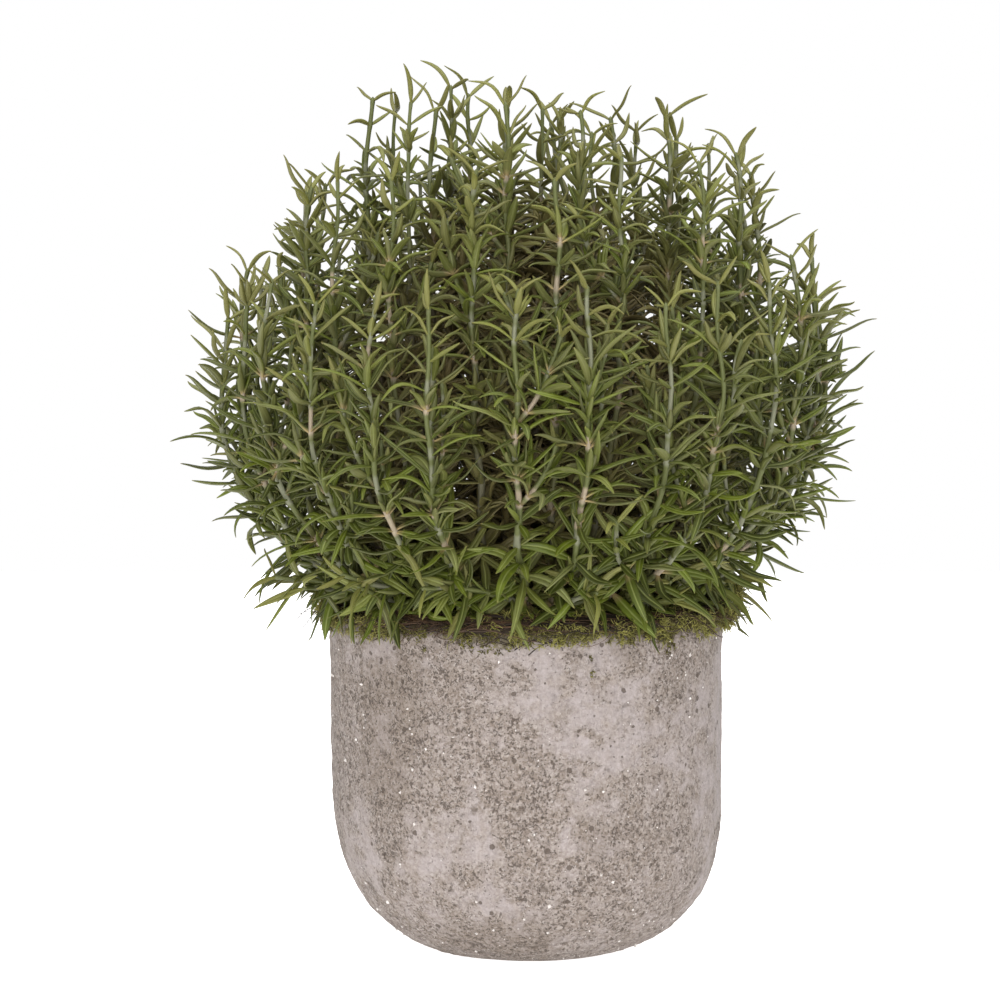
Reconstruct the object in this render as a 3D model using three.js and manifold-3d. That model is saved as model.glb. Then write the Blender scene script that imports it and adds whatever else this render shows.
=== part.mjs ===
// Potted rosemary: a hand-cast concrete pot filled with soil, a collar of moss tucked round its rim,
// and leafy sprays that stand in plain holes in the soil and spread into a ball.
// Millimetres, +Z up. The origin is the middle of the pot's foot, on the surface that the pot stands on.
import * as THREE from 'three';
import { mergeVertices } from 'three/addons/utils/BufferGeometryUtils.js';
import Module from 'manifold-3d';

const wasm = await Module();
wasm.setup();

const clearance = 0.3; // between pieces that rest on or in each other

const pot = {
  height: 110,
  rimRadius: 63.5,
  waistRadius: 62.5, // where the round bottom begins
  footRadius: 17, // the flat that the pot stands on
  roundHeight: 52, // how high the round bottom reaches
  roundPower: 2.3, // 2 is an ellipse, more is squarer
  wall: 8,
  floor: 9,
  rimRound: 2.2,
  footShift: 1.9, // the foot was cast this far to the right of the rim
  shiftFade: 72, // above this height the wall is true to the rim
  sides: 30,
};

const soil = {
  edgeHeight: 103,
  crownHeight: 105,
  holeDepth: 14,
};

const moss = {
  innerRadius: 47.5,
  leastRadius: 64.4, // where it only lies on the rim
  mostRadius: 67.5, // where a lump of it hangs outside the rim
  leastHang: 0.8,
  mostHang: 6,
  topHeight: 113.2,
  lumpHeight: 1.6,
};

// Each ring of the plan holds sprays side by side, and each spray forks into two shoots.
const bush = {
  rings: [
    { reach: 93, sprays: 13 },
    { reach: 71, sprays: 9 },
    { reach: 49, sprays: 5 },
    { reach: 28, sprays: 3 },
    { reach: 8, sprays: 1 },
  ],
  footShare: 0.46, // a spray's foot is this share of its reach from the middle
  trunkRadius: 2,
  trunkSides: 5,
  forkRise: 7, // the fork is this far above the soil
  startRise: 12, // shoots first rise this far
  startSpread: 0.05, // and spread by this share of their reach
  bulge: 1.17, // then they bow out past their tips
  bowHeight: { middle: 175, edge: 126 },
  bowPower: 1.5,
  domeFoot: 153, // stems end on a dome: its height at its edge, its rise, its radius and its roundness
  domeRise: 113,
  domeRadius: 104,
  domePower: 2.6,
  reachScatter: 5,
  turnScatter: 0.35,
  tipScatter: 10,
};

const shoot = {
  footRadius: 1.5,
  tipRadius: 0.75,
  sides: 4, // rosemary stems are square
  steps: 5,
};

const leaf = {
  length: 17.5,
  lengthScatter: 0.3,
  width: 2.9,
  thickness: 1.2,
  firstAt: 9, // along an outer shoot, from its fork
  shadedBare: 80, // how much later leaves begin on a shoot in the shade of the middle
  pitch: 8.8, // between the whorls
  pitchScatter: 0.3,
  lastAt: 2, // the youngest whorl is this far below the shoot's tip
  youngLength: 14, // leaves this near the tip still stand close to the stem
  youngClosing: 0.65,
  lean: 48, // degrees from the stem
  leanScatter: 24,
  turn: 90, // degrees from one whorl to the next
  turnScatter: 46,
  arch: 1.3, // how strongly it curves outwards at most
  lowHeight: 150, // below this height leaves begin to droop
  lowDroop: 0.3,
  widest: 0.42, // share of its length
};

// Least distances between centre lines.
const apart = {
  leafToLeaf: 3,
  leafToStem: 3.4,
  leafToOwnLeaf: 1.2,
  leafToMoss: 2,
  never: 60, // pieces that start further apart than this never meet
};

const radians = THREE.MathUtils.degToRad;
const soilHeight = (radius) =>
  THREE.MathUtils.lerp(soil.crownHeight, soil.edgeHeight, Math.min(radius / (pot.rimRadius - pot.wall), 1));

// A repeatable draw from 0 to 1 for any pair of numbers.
function draw(a, b) {
  const s = Math.sin(a * 12.9898 + b * 78.233) * 43758.5453;
  return s - Math.floor(s);
}
const scatter = (a, b) => draw(a, b) - 0.5;

const polar = (radius, turn, height) =>
  new THREE.Vector3(radius * Math.cos(turn), radius * Math.sin(turn), height);

// ---- Solids --------------------------------------------------------------------------------

function solid(geometry) {
  const bare = geometry.clone();
  bare.deleteAttribute('normal');
  bare.deleteAttribute('uv');
  const merged = mergeVertices(bare);
  const corners = merged.index.array;
  const triangles = [];
  for (let i = 0; i < corners.length; i += 3) {
    const [a, b, c] = corners.slice(i, i + 3);
    if (a !== b && b !== c && c !== a) triangles.push(a, b, c);
  }
  return new wasm.Manifold(
    new wasm.Mesh({
      numProp: 3,
      vertProperties: merged.attributes.position.array,
      triVerts: new Uint32Array(triangles),
    }),
  );
}

function geometryOf(made) {
  const mesh = made.getMesh();
  const geometry = new THREE.BufferGeometry();
  geometry.setAttribute('position', new THREE.BufferAttribute(new Float32Array(mesh.vertProperties), 3));
  geometry.setIndex(new THREE.BufferAttribute(new Uint32Array(mesh.triVerts), 1));
  geometry.computeVertexNormals();
  return geometry;
}

// Turns a profile of [radius, height] points round the Z axis.
function turned(profile, sides) {
  const points = profile.map(([radius, height]) => new THREE.Vector2(radius, height));
  return new THREE.LatheGeometry(points, sides).rotateX(Math.PI / 2);
}

function moveVertices(geometry, change) {
  const places = geometry.attributes.position;
  const point = new THREE.Vector3();
  for (let i = 0; i < places.count; i++) {
    point.fromBufferAttribute(places, i);
    change(point);
    places.setXYZ(i, point.x, point.y, point.z);
  }
  return geometry;
}

// A straight rod turned from [share of the radius, t] points, then bent: place(t, x, y) says where
// the point (x, y) of its section lies, for t from 0 at one end to 1 at the other.
function bentRod(profile, sides, place) {
  return moveVertices(turned(profile, sides), (point) => {
    const t = THREE.MathUtils.clamp(point.z, 0, 1);
    point.copy(place(t, point.x, point.y));
  });
}

// ---- The pot, the soil and the moss --------------------------------------------------------

// The rounded bottom from its flat out to the wall, as [radius, height] points.
function roundBottom(flatRadius, wallRadius, base, height, steps) {
  const points = [];
  for (let i = 0; i <= steps; i++) {
    const turn = (i / steps) * (Math.PI / 2);
    const power = 2 / pot.roundPower;
    points.push([
      flatRadius + (wallRadius - flatRadius) * Math.sin(turn) ** power,
      base + height * (1 - Math.cos(turn) ** power),
    ]);
  }
  return points;
}

function makePot() {
  const { height, rimRadius, wall, rimRound, floor } = pot;
  const innerRadius = rimRadius - wall;
  const outside = [[0, 0], ...roundBottom(pot.footRadius, pot.waistRadius, 0, pot.roundHeight, 9)];
  const rim = [
    [rimRadius, height - rimRound],
    [rimRadius - 0.3 * rimRound, height - 0.3 * rimRound],
    [rimRadius - rimRound, height],
    [innerRadius + rimRound, height],
    [innerRadius, height - rimRound],
  ];
  const inside = roundBottom(pot.footRadius - 4, innerRadius, floor, pot.roundHeight - floor, 3).reverse();
  const shape = turned([...outside, ...rim, ...inside, [0, floor]], pot.sides);
  return moveVertices(shape, (point) => {
    const rise = THREE.MathUtils.smoothstep(point.z, 0, pot.shiftFade);
    const isOutside = point.z < floor || Math.hypot(point.x, point.y) > innerRadius + rimRound / 2;
    if (isOutside) point.x += pot.footShift * (1 - rise);
  });
}

function makeSoil(feet) {
  const radius = pot.rimRadius - pot.wall - clearance;
  const base = pot.floor + clearance;
  const bottom = roundBottom(pot.footRadius - 5, radius - clearance, base, pot.roundHeight - base, 3);
  const top = [[radius, soil.edgeHeight], [0, soil.crownHeight]];
  let made = solid(turned([[0, base], ...bottom, ...top], pot.sides));
  const holeRadius = bush.trunkRadius + 1.3 * clearance;
  for (const foot of feet) {
    const hole = new THREE.CylinderGeometry(holeRadius, holeRadius, 2 * soil.holeDepth, bush.trunkSides);
    hole.rotateX(Math.PI / 2).translate(foot.x, foot.y, foot.z);
    made = made.subtract(solid(hole));
  }
  return geometryOf(made);
}

// How strongly the moss swells at a turn round the pot, from 0 to 1.
function mossSwell(turn) {
  const waves = Math.sin(3 * turn + 0.6) + Math.sin(7 * turn) + Math.sin(11 * turn + 2);
  return THREE.MathUtils.smoothstep(waves, -0.6, 2.2);
}

// A cut through the collar: it lies on the soil and on the rim, and hangs outside it where it swells.
function mossProfile(swell) {
  const { height, rimRadius, wall, rimRound } = pot;
  const { lerp } = THREE.MathUtils;
  const bed = soilHeight(moss.innerRadius) + clearance;
  const wallSide = rimRadius - wall - clearance;
  const rimSide = rimRadius + clearance;
  const lip = lerp(moss.leastHang, moss.mostHang, swell);
  const outside = lerp(moss.leastRadius, moss.mostRadius, swell);
  const top = moss.topHeight + moss.lumpHeight * swell;
  return [
    [moss.innerRadius, bed],
    [wallSide, bed],
    [wallSide, height - rimRound],
    [wallSide + rimRound, height + clearance],
    [rimRadius - rimRound, height + clearance],
    [rimSide, height - 0.25 * rimRound],
    [rimSide, height - lip],
    [outside, height - 0.6 * lip],
    [outside - 0.6, height + 1.5],
    [rimRadius - 5, top],
    [moss.innerRadius - 0.6, height],
    [moss.innerRadius, bed],
  ];
}

function makeMoss() {
  const corners = mossProfile(0).length;
  let number = 0;
  return moveVertices(turned(mossProfile(0), pot.sides), (point) => {
    const turn = Math.atan2(point.y, point.x);
    const [radius, rise] = mossProfile(mossSwell(turn))[number % corners];
    point.copy(polar(radius, turn, rise));
    number += 1;
  });
}

// ---- The rosemary --------------------------------------------------------------------------

// All sprays, each with its foot and the centre lines of its two shoots.
function planSprays() {
  const sprays = [];
  const edge = bush.rings[0].reach;
  bush.rings.forEach((ring, ringNumber) => {
    const share = (2 * Math.PI) / (2 * ring.sprays); // of a full turn, for each shoot
    const start = 2 * Math.PI * draw(ringNumber, 1);
    const footRadius = ring.sprays > 1 ? bush.footShare * ring.reach : 0;
    for (let n = 0; n < ring.sprays; n++) {
      const sprayTurn = start + (2 * n + 1) * share;
      const foot = polar(footRadius, sprayTurn, soilHeight(footRadius));
      const shoots = [-0.5, 0.5].map((side) => {
        const number = 2 * sprays.length + (side > 0 ? 1 : 0);
        const turn = sprayTurn + side * share + bush.turnScatter * share * scatter(number, 2);
        const reach = ring.reach + bush.reachScatter * scatter(number, 3);
        const dome = Math.sqrt(1 - (reach / bush.domeRadius) ** bush.domePower);
        const tip = bush.domeFoot + bush.domeRise * dome + bush.tipScatter * scatter(number, 4);
        const bow = bush.bowHeight.middle
          + (bush.bowHeight.edge - bush.bowHeight.middle) * (ring.reach / edge) ** bush.bowPower;
        const fork = foot.z + bush.forkRise;
        const leafyFrom = leaf.firstAt + leaf.shadedBare * (1 - ring.reach / edge);
        const curve = new THREE.CubicBezierCurve3(
          polar(footRadius, sprayTurn, fork - 1),
          polar(footRadius + bush.startSpread * reach, turn, fork + bush.startRise),
          polar(bush.bulge * reach, turn, bow),
          polar(reach, turn, tip),
        );
        const bends = curve.getPoints(shoot.steps); // closest together where the shoot bends most
        return { number, turn, curve, bends, leafyFrom, length: curve.getLength() };
      });
      sprays.push({ foot, shoots });
    }
  });
  return sprays;
}

// The middle of the stem, straight from one bend to the next, for t from 0 at its fork to 1.
function stemPoint(shootPlan, t) {
  const bend = Math.min(Math.floor(t * shoot.steps), shoot.steps - 1);
  const { bends } = shootPlan;
  return bends[bend].clone().lerp(bends[bend + 1], t * shoot.steps - bend);
}

// The stem's direction, and two directions across it.
function stemFrame(shootPlan, t) {
  const along = shootPlan.curve.getTangent(t);
  const side = new THREE.Vector3(Math.sin(shootPlan.turn), -Math.cos(shootPlan.turn), 0);
  side.addScaledVector(along, -side.dot(along)).normalize();
  const out = new THREE.Vector3().crossVectors(along, side);
  return { along, side, out };
}

const stemRadius = (t) => THREE.MathUtils.lerp(shoot.footRadius, shoot.tipRadius, t);

function makeStem(shootPlan) {
  const profile = [[0, 0]];
  for (let step = 0; step <= shoot.steps; step++) profile.push([1, step / shoot.steps]);
  profile.push([0, 1]);
  return bentRod(profile, shoot.sides, (t, x, y) => {
    const { side, out } = stemFrame(shootPlan, t);
    const radius = stemRadius(t);
    return stemPoint(shootPlan, t)
      .addScaledVector(side, x * radius)
      .addScaledVector(out, y * radius);
  });
}

// Places along a shoot where leaves grow, as distances from its fork.
function whorls(shootPlan) {
  const places = [];
  let at = shootPlan.leafyFrom + leaf.pitch * draw(shootPlan.number, 5);
  for (let n = 0; at < shootPlan.length - leaf.lastAt - 3; n++) {
    places.push(at);
    at += leaf.pitch * (1 + leaf.pitchScatter * scatter(shootPlan.number, 10 + n));
  }
  places.push(shootPlan.length - leaf.lastAt);
  return places;
}

// A leaf's centre line: it leaves the stem at an angle, arches outwards and droops, more so low down.
function leafPath(shootPlan, whorl, at, blade) {
  const seed = 100 * shootPlan.number + whorl;
  const t = shootPlan.curve.getUtoTmapping(at / shootPlan.length);
  const { along, side, out } = stemFrame(shootPlan, t);
  const step = 45 + leaf.turn * whorl + 180 * blade; // from the middle of a face of the square stem
  const turn = radians(step + leaf.turnScatter * scatter(seed, 20 + blade));
  const young = THREE.MathUtils.smoothstep(at, shootPlan.length - leaf.youngLength, shootPlan.length);
  const closing = 1 - leaf.youngClosing * young;
  const lean = radians(closing * (leaf.lean + leaf.leanScatter * scatter(seed, 30 + blade)));
  const length = leaf.length * (1 + leaf.lengthScatter * scatter(seed, 40 + blade));
  const away = side.clone().multiplyScalar(Math.cos(turn)).addScaledVector(out, Math.sin(turn));
  const root = stemPoint(shootPlan, t);
  const low = THREE.MathUtils.clamp((leaf.lowHeight - root.z) / 50, 0, 1);
  const arch = leaf.arch * draw(seed, 50 + blade) * (1 - young);
  const start = along.clone().multiplyScalar(Math.cos(lean)).addScaledVector(away, Math.sin(lean));
  const bend = away.clone().multiplyScalar(0.25 * arch).addScaledVector(along, -0.32 * arch);
  bend.z -= 0.06 + leaf.lowDroop * low * draw(seed, 60 + blade);
  const across = new THREE.Vector3().crossVectors(along, away).normalize();
  const point = (share) =>
    root.clone().addScaledVector(start, length * share).addScaledVector(bend, length * share ** 2);
  return { point, across, length };
}

// Three-sided, with its flat side up. It starts from a point on the stem's centre line.
function makeLeaf(path) {
  const profile = [[0, 0], [1, leaf.widest], [0, 1]];
  return bentRod(profile, 3, (t, x, y) => {
    const ahead = path.point(t + 0.05).sub(path.point(t - 0.05));
    const up = new THREE.Vector3().crossVectors(ahead, path.across).normalize();
    return path
      .point(t)
      .addScaledVector(path.across, (x * leaf.width) / Math.sqrt(3))
      .addScaledVector(up, (y * leaf.thickness) / 1.5);
  });
}

// ---- Keeping leaves clear of other sprays --------------------------------------------------

function segmentGap(a, b, c, d) {
  const ab = b.clone().sub(a);
  const cd = d.clone().sub(c);
  const ca = a.clone().sub(c);
  const abab = ab.dot(ab);
  const cdcd = cd.dot(cd);
  const abcd = ab.dot(cd);
  const abca = ab.dot(ca);
  const cdca = cd.dot(ca);
  const spread = abab * cdcd - abcd * abcd;
  const clamp = (v) => THREE.MathUtils.clamp(v, 0, 1);
  let s = spread > 1e-9 ? clamp((abcd * cdca - cdcd * abca) / spread) : 0;
  const t = clamp((abcd * s + cdca) / cdcd);
  s = clamp((abcd * t - abca) / abab);
  return a.clone().addScaledVector(ab, s).distanceTo(c.clone().addScaledVector(cd, t));
}

function segmentsOf(points, spray, kind) {
  return points.slice(1).map((end, i) => ({ a: points[i], b: end, spray, kind }));
}

// How far a part of a leaf, its inner or its outer half, has to stay from another segment.
function neededGap(leafPart, other, isOwn) {
  if (!isOwn) return other.kind === 'stem' ? apart.leafToStem : apart.leafToLeaf;
  return other.kind === 'stem' || leafPart === 0 ? 0 : apart.leafToOwnLeaf;
}

function isClear(segments, taken, ownSpray) {
  return segments.every((s, leafPart) =>
    taken.every((other) => {
      const needed = neededGap(leafPart, other, other.spray === ownSpray);
      if (needed === 0 || s.a.distanceTo(other.a) > apart.never) return true;
      return segmentGap(s.a, s.b, other.a, other.b) > needed;
    }),
  );
}

function isOverMoss(point) {
  const isOutside = Math.hypot(point.x, point.y) > moss.mostRadius + apart.leafToMoss;
  return isOutside || point.z > moss.topHeight + moss.lumpHeight + apart.leafToMoss;
}

// The leaves of the solid model: two whorls in three carry one each, now on one side of the stem and
// now on the other, and the youngest whorl has its pair.
function planLeaves(sprays) {
  const taken = [];
  sprays.forEach((spray, sprayNumber) => {
    for (const shootPlan of spray.shoots) {
      taken.push(...segmentsOf(shootPlan.bends, sprayNumber, 'stem'));
    }
  });
  return sprays.map((spray, sprayNumber) => {
    const kept = [];
    for (const shootPlan of spray.shoots) {
      whorls(shootPlan).forEach((at, whorl, all) => {
        const youngest = whorl === all.length - 1;
        if (whorl % 3 === 2 && !youngest) return;
        for (const blade of youngest ? [0, 1] : [(whorl >> 1) % 2]) {
          const path = leafPath(shootPlan, whorl, at, blade);
          const line = [0, leaf.widest, 1].map((t) => path.point(t));
          const segments = segmentsOf(line, sprayNumber, 'leaf');
          const isFree = [0.3, 0.5, 0.75, 1].every((t) => isOverMoss(path.point(t)));
          if (isFree && isClear(segments, taken, sprayNumber)) {
            taken.push(...segments);
            kept.push(path);
          }
        }
      });
    }
    return kept;
  });
}

function makeSpray(spray, leaves) {
  const foot = spray.foot.z - soil.holeDepth + clearance;
  const trunkHeight = spray.foot.z + bush.forkRise - foot;
  const { trunkRadius, trunkSides } = bush;
  const trunk = new THREE.CylinderGeometry(0.9 * trunkRadius, trunkRadius, trunkHeight, trunkSides);
  trunk.rotateX(Math.PI / 2).translate(spray.foot.x, spray.foot.y, foot + trunkHeight / 2);
  let made = solid(trunk);
  for (const shootPlan of spray.shoots) made = made.add(solid(makeStem(shootPlan)));
  for (const path of leaves) made = made.add(solid(makeLeaf(path)));
  return geometryOf(made);
}

// ---- The group -----------------------------------------------------------------------------

const concrete = new THREE.MeshStandardMaterial({ color: 0xb3a79f, roughness: 0.95, metalness: 0 });
const earth = new THREE.MeshStandardMaterial({ color: 0x3a2c1f, roughness: 1, metalness: 0 });
const mossGreen = new THREE.MeshStandardMaterial({ color: 0x6d6a2a, roughness: 1, metalness: 0 });
const rosemary = new THREE.MeshStandardMaterial({ color: 0x5b6536, roughness: 0.6, metalness: 0 });

const group = new THREE.Group();
function addPiece(name, geometry, material) {
  const mesh = new THREE.Mesh(geometry, material);
  mesh.name = name;
  group.add(mesh);
}

const sprays = planSprays();
const leavesOf = planLeaves(sprays);
addPiece('pot', makePot(), concrete);
addPiece('soil', makeSoil(sprays.map((spray) => spray.foot)), earth);
addPiece('moss_collar', makeMoss(), mossGreen);
sprays.forEach((spray, n) => {
  const name = `spray_${String(n + 1).padStart(2, '0')}`;
  addPiece(name, makeSpray(spray, leavesOf[n]), rosemary);
});

export default group;
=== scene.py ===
import math

import bpy
import numpy as np
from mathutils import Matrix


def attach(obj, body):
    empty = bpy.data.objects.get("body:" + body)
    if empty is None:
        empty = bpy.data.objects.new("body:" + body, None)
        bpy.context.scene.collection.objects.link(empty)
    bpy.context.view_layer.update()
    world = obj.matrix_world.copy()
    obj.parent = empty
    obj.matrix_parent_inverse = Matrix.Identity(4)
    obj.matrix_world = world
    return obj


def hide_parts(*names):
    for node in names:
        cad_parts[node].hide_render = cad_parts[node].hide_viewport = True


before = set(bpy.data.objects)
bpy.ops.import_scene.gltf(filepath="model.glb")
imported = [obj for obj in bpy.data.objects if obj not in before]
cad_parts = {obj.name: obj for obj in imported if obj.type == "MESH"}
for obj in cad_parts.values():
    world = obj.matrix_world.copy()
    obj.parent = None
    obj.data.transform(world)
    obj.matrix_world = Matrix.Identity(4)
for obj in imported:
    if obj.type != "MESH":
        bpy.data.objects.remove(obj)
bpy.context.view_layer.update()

# Potted rosemary. Lengths in this script are millimetres, and addMesh turns them to metres.
# The pot, the moss and the shoots repeat the sizes of the solid model, so each piece lies where its
# solid does.
metresPerMillimetre = 0.001
rng = np.random.default_rng(41)


# Numbers, curves and noise

def hashed(x):
    # for each number always the same draw from 0 to 1
    x = np.sin(x) * 43758.5453
    return x - np.floor(x)


def draw(a, b):
    return hashed(a * 12.9898 + b * 78.233)


def scatter(a, b):
    return draw(a, b) - 0.5


def smooth(low, high, x):
    t = np.clip((x - low) / (high - low), 0, 1)
    return t * t * (3 - 2 * t)


def unit(vectors):
    return vectors / np.maximum(np.linalg.norm(vectors, axis=-1, keepdims=True), 1e-9)


def within(limits, share):
    return limits[0] + (limits[1] - limits[0]) * share


def polar(radius, turn, height):
    return np.array([radius * math.cos(turn), radius * math.sin(turn), height])


def ringed(radius, turn, height):
    # polar for arrays
    return np.stack(np.broadcast_arrays(radius * np.cos(turn), radius * np.sin(turn), height), axis=-1)


def noise(points, size, seed):
    # smooth value noise from 0 to 1, with lumps of this size
    place = points.reshape(-1, 3) / size
    cell = np.floor(place)
    t = smooth(0, 1, place - cell)
    total = 0
    for corner in np.ndindex(2, 2, 2):
        value = hashed((cell + corner) @ np.array([127.1, 311.7, 74.7]) + seed * 17.3)
        total = total + np.prod(np.where(np.array(corner) == 1, t, 1 - t), axis=1) * value
    return total.reshape(points.shape[:-1])


def roughNoise(points, size, seed, octaves=3):
    # noise with finer noise added to it
    total = sum(noise(points, size / 2**n, seed + n) / 2**n for n in range(octaves))
    return total / sum(1 / 2**n for n in range(octaves))


# Meshes

def addMesh(name, parts, materials, smoothShaded=True):
    # a part has points, values for each point, and faces: corners of quads or triangles, and the
    # uvs of each corner. Each part wears the material of its own number
    points = np.concatenate([part["points"] for part in parts])
    corners, starts, uvs, wears = [], [], [], []
    cornerCount = 0
    offset = 0
    for number, part in enumerate(parts):
        for faces, faceUvs in part["faces"]:
            count, sides = faces.shape
            corners.append((faces + offset).ravel())
            starts.append(cornerCount + np.arange(count) * sides)
            uvs.append(faceUvs.reshape(-1, 2))
            wears.append(np.full(count, number if len(materials) > 1 else 0))
            cornerCount += count * sides
        offset += len(part["points"])
    mesh = bpy.data.meshes.new(name)
    mesh.vertices.add(len(points))
    mesh.vertices.foreach_set("co", (points * metresPerMillimetre).astype(np.float32).ravel())
    mesh.loops.add(cornerCount)
    mesh.loops.foreach_set("vertex_index", np.concatenate(corners).astype(np.int32))
    starts = np.concatenate(starts).astype(np.int32)
    mesh.polygons.add(len(starts))
    mesh.polygons.foreach_set("loop_start", starts)
    mesh.polygons.foreach_set("material_index", np.concatenate(wears).astype(np.int32))
    mesh.polygons.foreach_set("use_smooth", np.full(len(starts), smoothShaded))
    mesh.update(calc_edges=True)
    layer = mesh.uv_layers.new(name="OFBake")
    layer.data.foreach_set("uv", np.concatenate(uvs).astype(np.float32).ravel())
    for label, values in allValues(parts).items():
        attribute = mesh.attributes.new(label, "FLOAT", "POINT")
        attribute.data.foreach_set("value", values.astype(np.float32))
    for material in materials:
        mesh.materials.append(material)
    piece = bpy.data.objects.new(name, mesh)
    bpy.context.scene.collection.objects.link(piece)
    return piece


def tubes(rings, roots, tips, values, band):
    # closed tubes, each of the same number of rings and sides; band is the strip of the texture,
    # from bottom to top, in which each tube has a cell of its own
    count, ringCount, sides, _ = rings.shape
    points = np.concatenate([rings.reshape(-1, 3), roots, tips])
    start = (np.arange(count) * ringCount * sides)[:, None, None]
    ring = np.arange(ringCount - 1)[None, :, None]
    side = np.arange(sides)[None, None, :]
    after = (side + 1) % sides
    above = start + (ring + 1) * sides
    end = start + (ringCount - 1) * sides
    root = (count * ringCount * sides + np.arange(count))[:, None, None]
    columns = max(1, math.ceil(math.sqrt(count * 2.6)))
    cellWide = 1 / columns
    cellHigh = (band[1] - band[0]) / math.ceil(count / columns)
    left = (np.arange(count) % columns)[:, None, None] * cellWide
    low = band[0] + (np.arange(count) // columns)[:, None, None] * cellHigh

    def faces(rows, *corners):
        # a corner is the number of its point and its place across and up the cell
        shape = (count, rows, sides)
        numbers = np.stack([np.broadcast_to(number, shape) for number, _, _ in corners], axis=-1)
        uvs = []
        for _, s, r in corners:
            u = left + cellWide * (0.03 + 0.94 * s / sides)
            v = low + cellHigh * (0.03 + 0.94 * (r + 1) / (ringCount + 1))
            uvs.append(np.stack([np.broadcast_to(u, shape), np.broadcast_to(v, shape)], axis=-1))
        return numbers.reshape(-1, len(corners)), np.stack(uvs, axis=-2)

    body = faces(ringCount - 1, (start + ring * sides + side, side, ring),
                 (start + ring * sides + after, side + 1, ring),
                 (above + after, side + 1, ring + 1), (above + side, side, ring + 1))
    foot = faces(1, (start + after, side + 1, 0), (start + side, side, 0), (root, side + 0.5, -1))
    head = faces(1, (end + side, side, ringCount - 1), (end + after, side + 1, ringCount - 1),
                 (root + count, side + 0.5, ringCount))
    spread = {}
    for label, value in values.items():
        full = np.broadcast_to(value, (count, ringCount, sides))
        spread[label] = np.concatenate([full.ravel(), full[:, 0, 0], full[:, -1, 0]])
    return {"points": points, "faces": [body, foot, head], "values": spread}


def allValues(parts):
    labels = sorted({label for part in parts for label in part["values"]})
    return {label: np.concatenate([part["values"].get(label, np.zeros(len(part["points"])))
                                   for part in parts]) for label in labels}


def joined(parts):
    # several parts that wear one material
    faces, offset = [], 0
    for part in parts:
        faces += [(corners + offset, uvs) for corners, uvs in part["faces"]]
        offset += len(part["points"])
    points = np.concatenate([part["points"] for part in parts])
    return {"points": points, "faces": faces, "values": allValues(parts)}


# Materials

def linear(colour):
    # sRGB hex to linear
    parts = [int(colour[i:i + 2], 16) / 255 for i in (1, 3, 5)]
    turned = [c / 12.92 if c <= 0.04045 else ((c + 0.055) / 1.055) ** 2.4 for c in parts]
    return (*turned, 1.0)


def addNode(tree, kind, settings=None, inputs=None):
    node = tree.nodes.new("ShaderNode" + kind)
    for name, value in (settings or {}).items():
        setattr(node, name, value)
    fill(node, inputs or {})
    return node


def fill(node, inputs):
    # an input may be a node made before, a socket of one, a hex colour or a plain value
    for socket, value in inputs.items():
        if isinstance(value, bpy.types.Node):
            value = next(output for output in value.outputs if output.enabled)
        if isinstance(value, bpy.types.NodeSocket):
            node.id_data.links.new(value, node.inputs[socket])
        else:
            node.inputs[socket].default_value = linear(value) if isinstance(value, str) else value


def newMaterial(name, roughness, ior=1.5):
    material = bpy.data.materials.new(name)
    material.use_nodes = True
    tree = material.node_tree
    tree.nodes.clear()
    shader = addNode(tree, "BsdfPrincipled", None, {"Roughness": roughness, "IOR": ior})
    addNode(tree, "OutputMaterial", None, {"Surface": shader})
    return material, tree, shader


blended = {"data_type": "RGBA"}
multiplied = {"data_type": "RGBA", "blend_type": "MULTIPLY"}
eased = {"interpolation_type": "SMOOTHSTEP"}
times = {"operation": "MULTIPLY"}
timesPlus = {"operation": "MULTIPLY_ADD"}
minus = {"operation": "SUBTRACT"}


def buildMaterial(name, roughness, ior, reads, patterns, steps, layers=(), stretch=1):
    # reads: values of the mesh. patterns: for each noise where it is read, its size in millimetres,
    # detail, roughness and distortion; those read at "drawn" are stretched upwards.
    # steps: nodes, whose inputs may name what was made before, or one of its outputs after a dot.
    # The step called surface is the colour, and layers are laid over it in turn, each by its share.
    # The step called bump, if there is one, shapes the surface
    material, tree, shader = newMaterial(name, roughness, ior)
    made = {label: addNode(tree, "Attribute", {"attribute_name": label}).outputs["Fac"]
            for label in reads}
    if patterns:
        made["place"] = addNode(tree, "TexCoord").outputs["Object"]
    if stretch != 1:
        made["drawn"] = addNode(tree, "Mapping", None, {"Vector": made["place"],
                                                        "Scale": (1, 1, stretch)})
    for label, (where, size, *rest) in patterns.items():
        made[label] = addNode(tree, "TexNoise", None, {
            "Vector": made[where], "Scale": 1 / (size * metresPerMillimetre),
            **dict(zip(("Detail", "Roughness", "Distortion"), rest))})
    for label, (kind, settings, inputs) in steps.items():
        found = {}
        for socket, value in inputs.items():
            start, _, output = value.partition(".") if isinstance(value, str) else (value, "", "")
            found[socket] = made[start].outputs[output] if output else made.get(start, start)
        stops = (settings or {}).get("stops", {})
        made[label] = addNode(tree, kind, None if stops else settings, found)
        for number, (position, shade) in enumerate(stops.items()):
            # from low to high; a ramp is new with two elements
            elements = made[label].color_ramp.elements
            element = elements[number] if number < 2 else elements.new(position)
            element.position = position
            element.color = linear(shade)
    colour = made["surface"]
    for share, shade in layers:
        colour = addNode(tree, "Mix", blended, {0: made[share], 6: colour, 7: shade})
    fill(shader, {"Base Color": colour})
    if "bump" in made:
        fill(shader, {"Normal": made["bump"]})
    return material


# Camera: a long lens a little above the rim, looking slightly down
view = {
    "distance": 1300,
    "height": 244,
    "aimHeight": 145.4,
    "aside": -8.3,
    "lens": 146.1,
}


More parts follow.
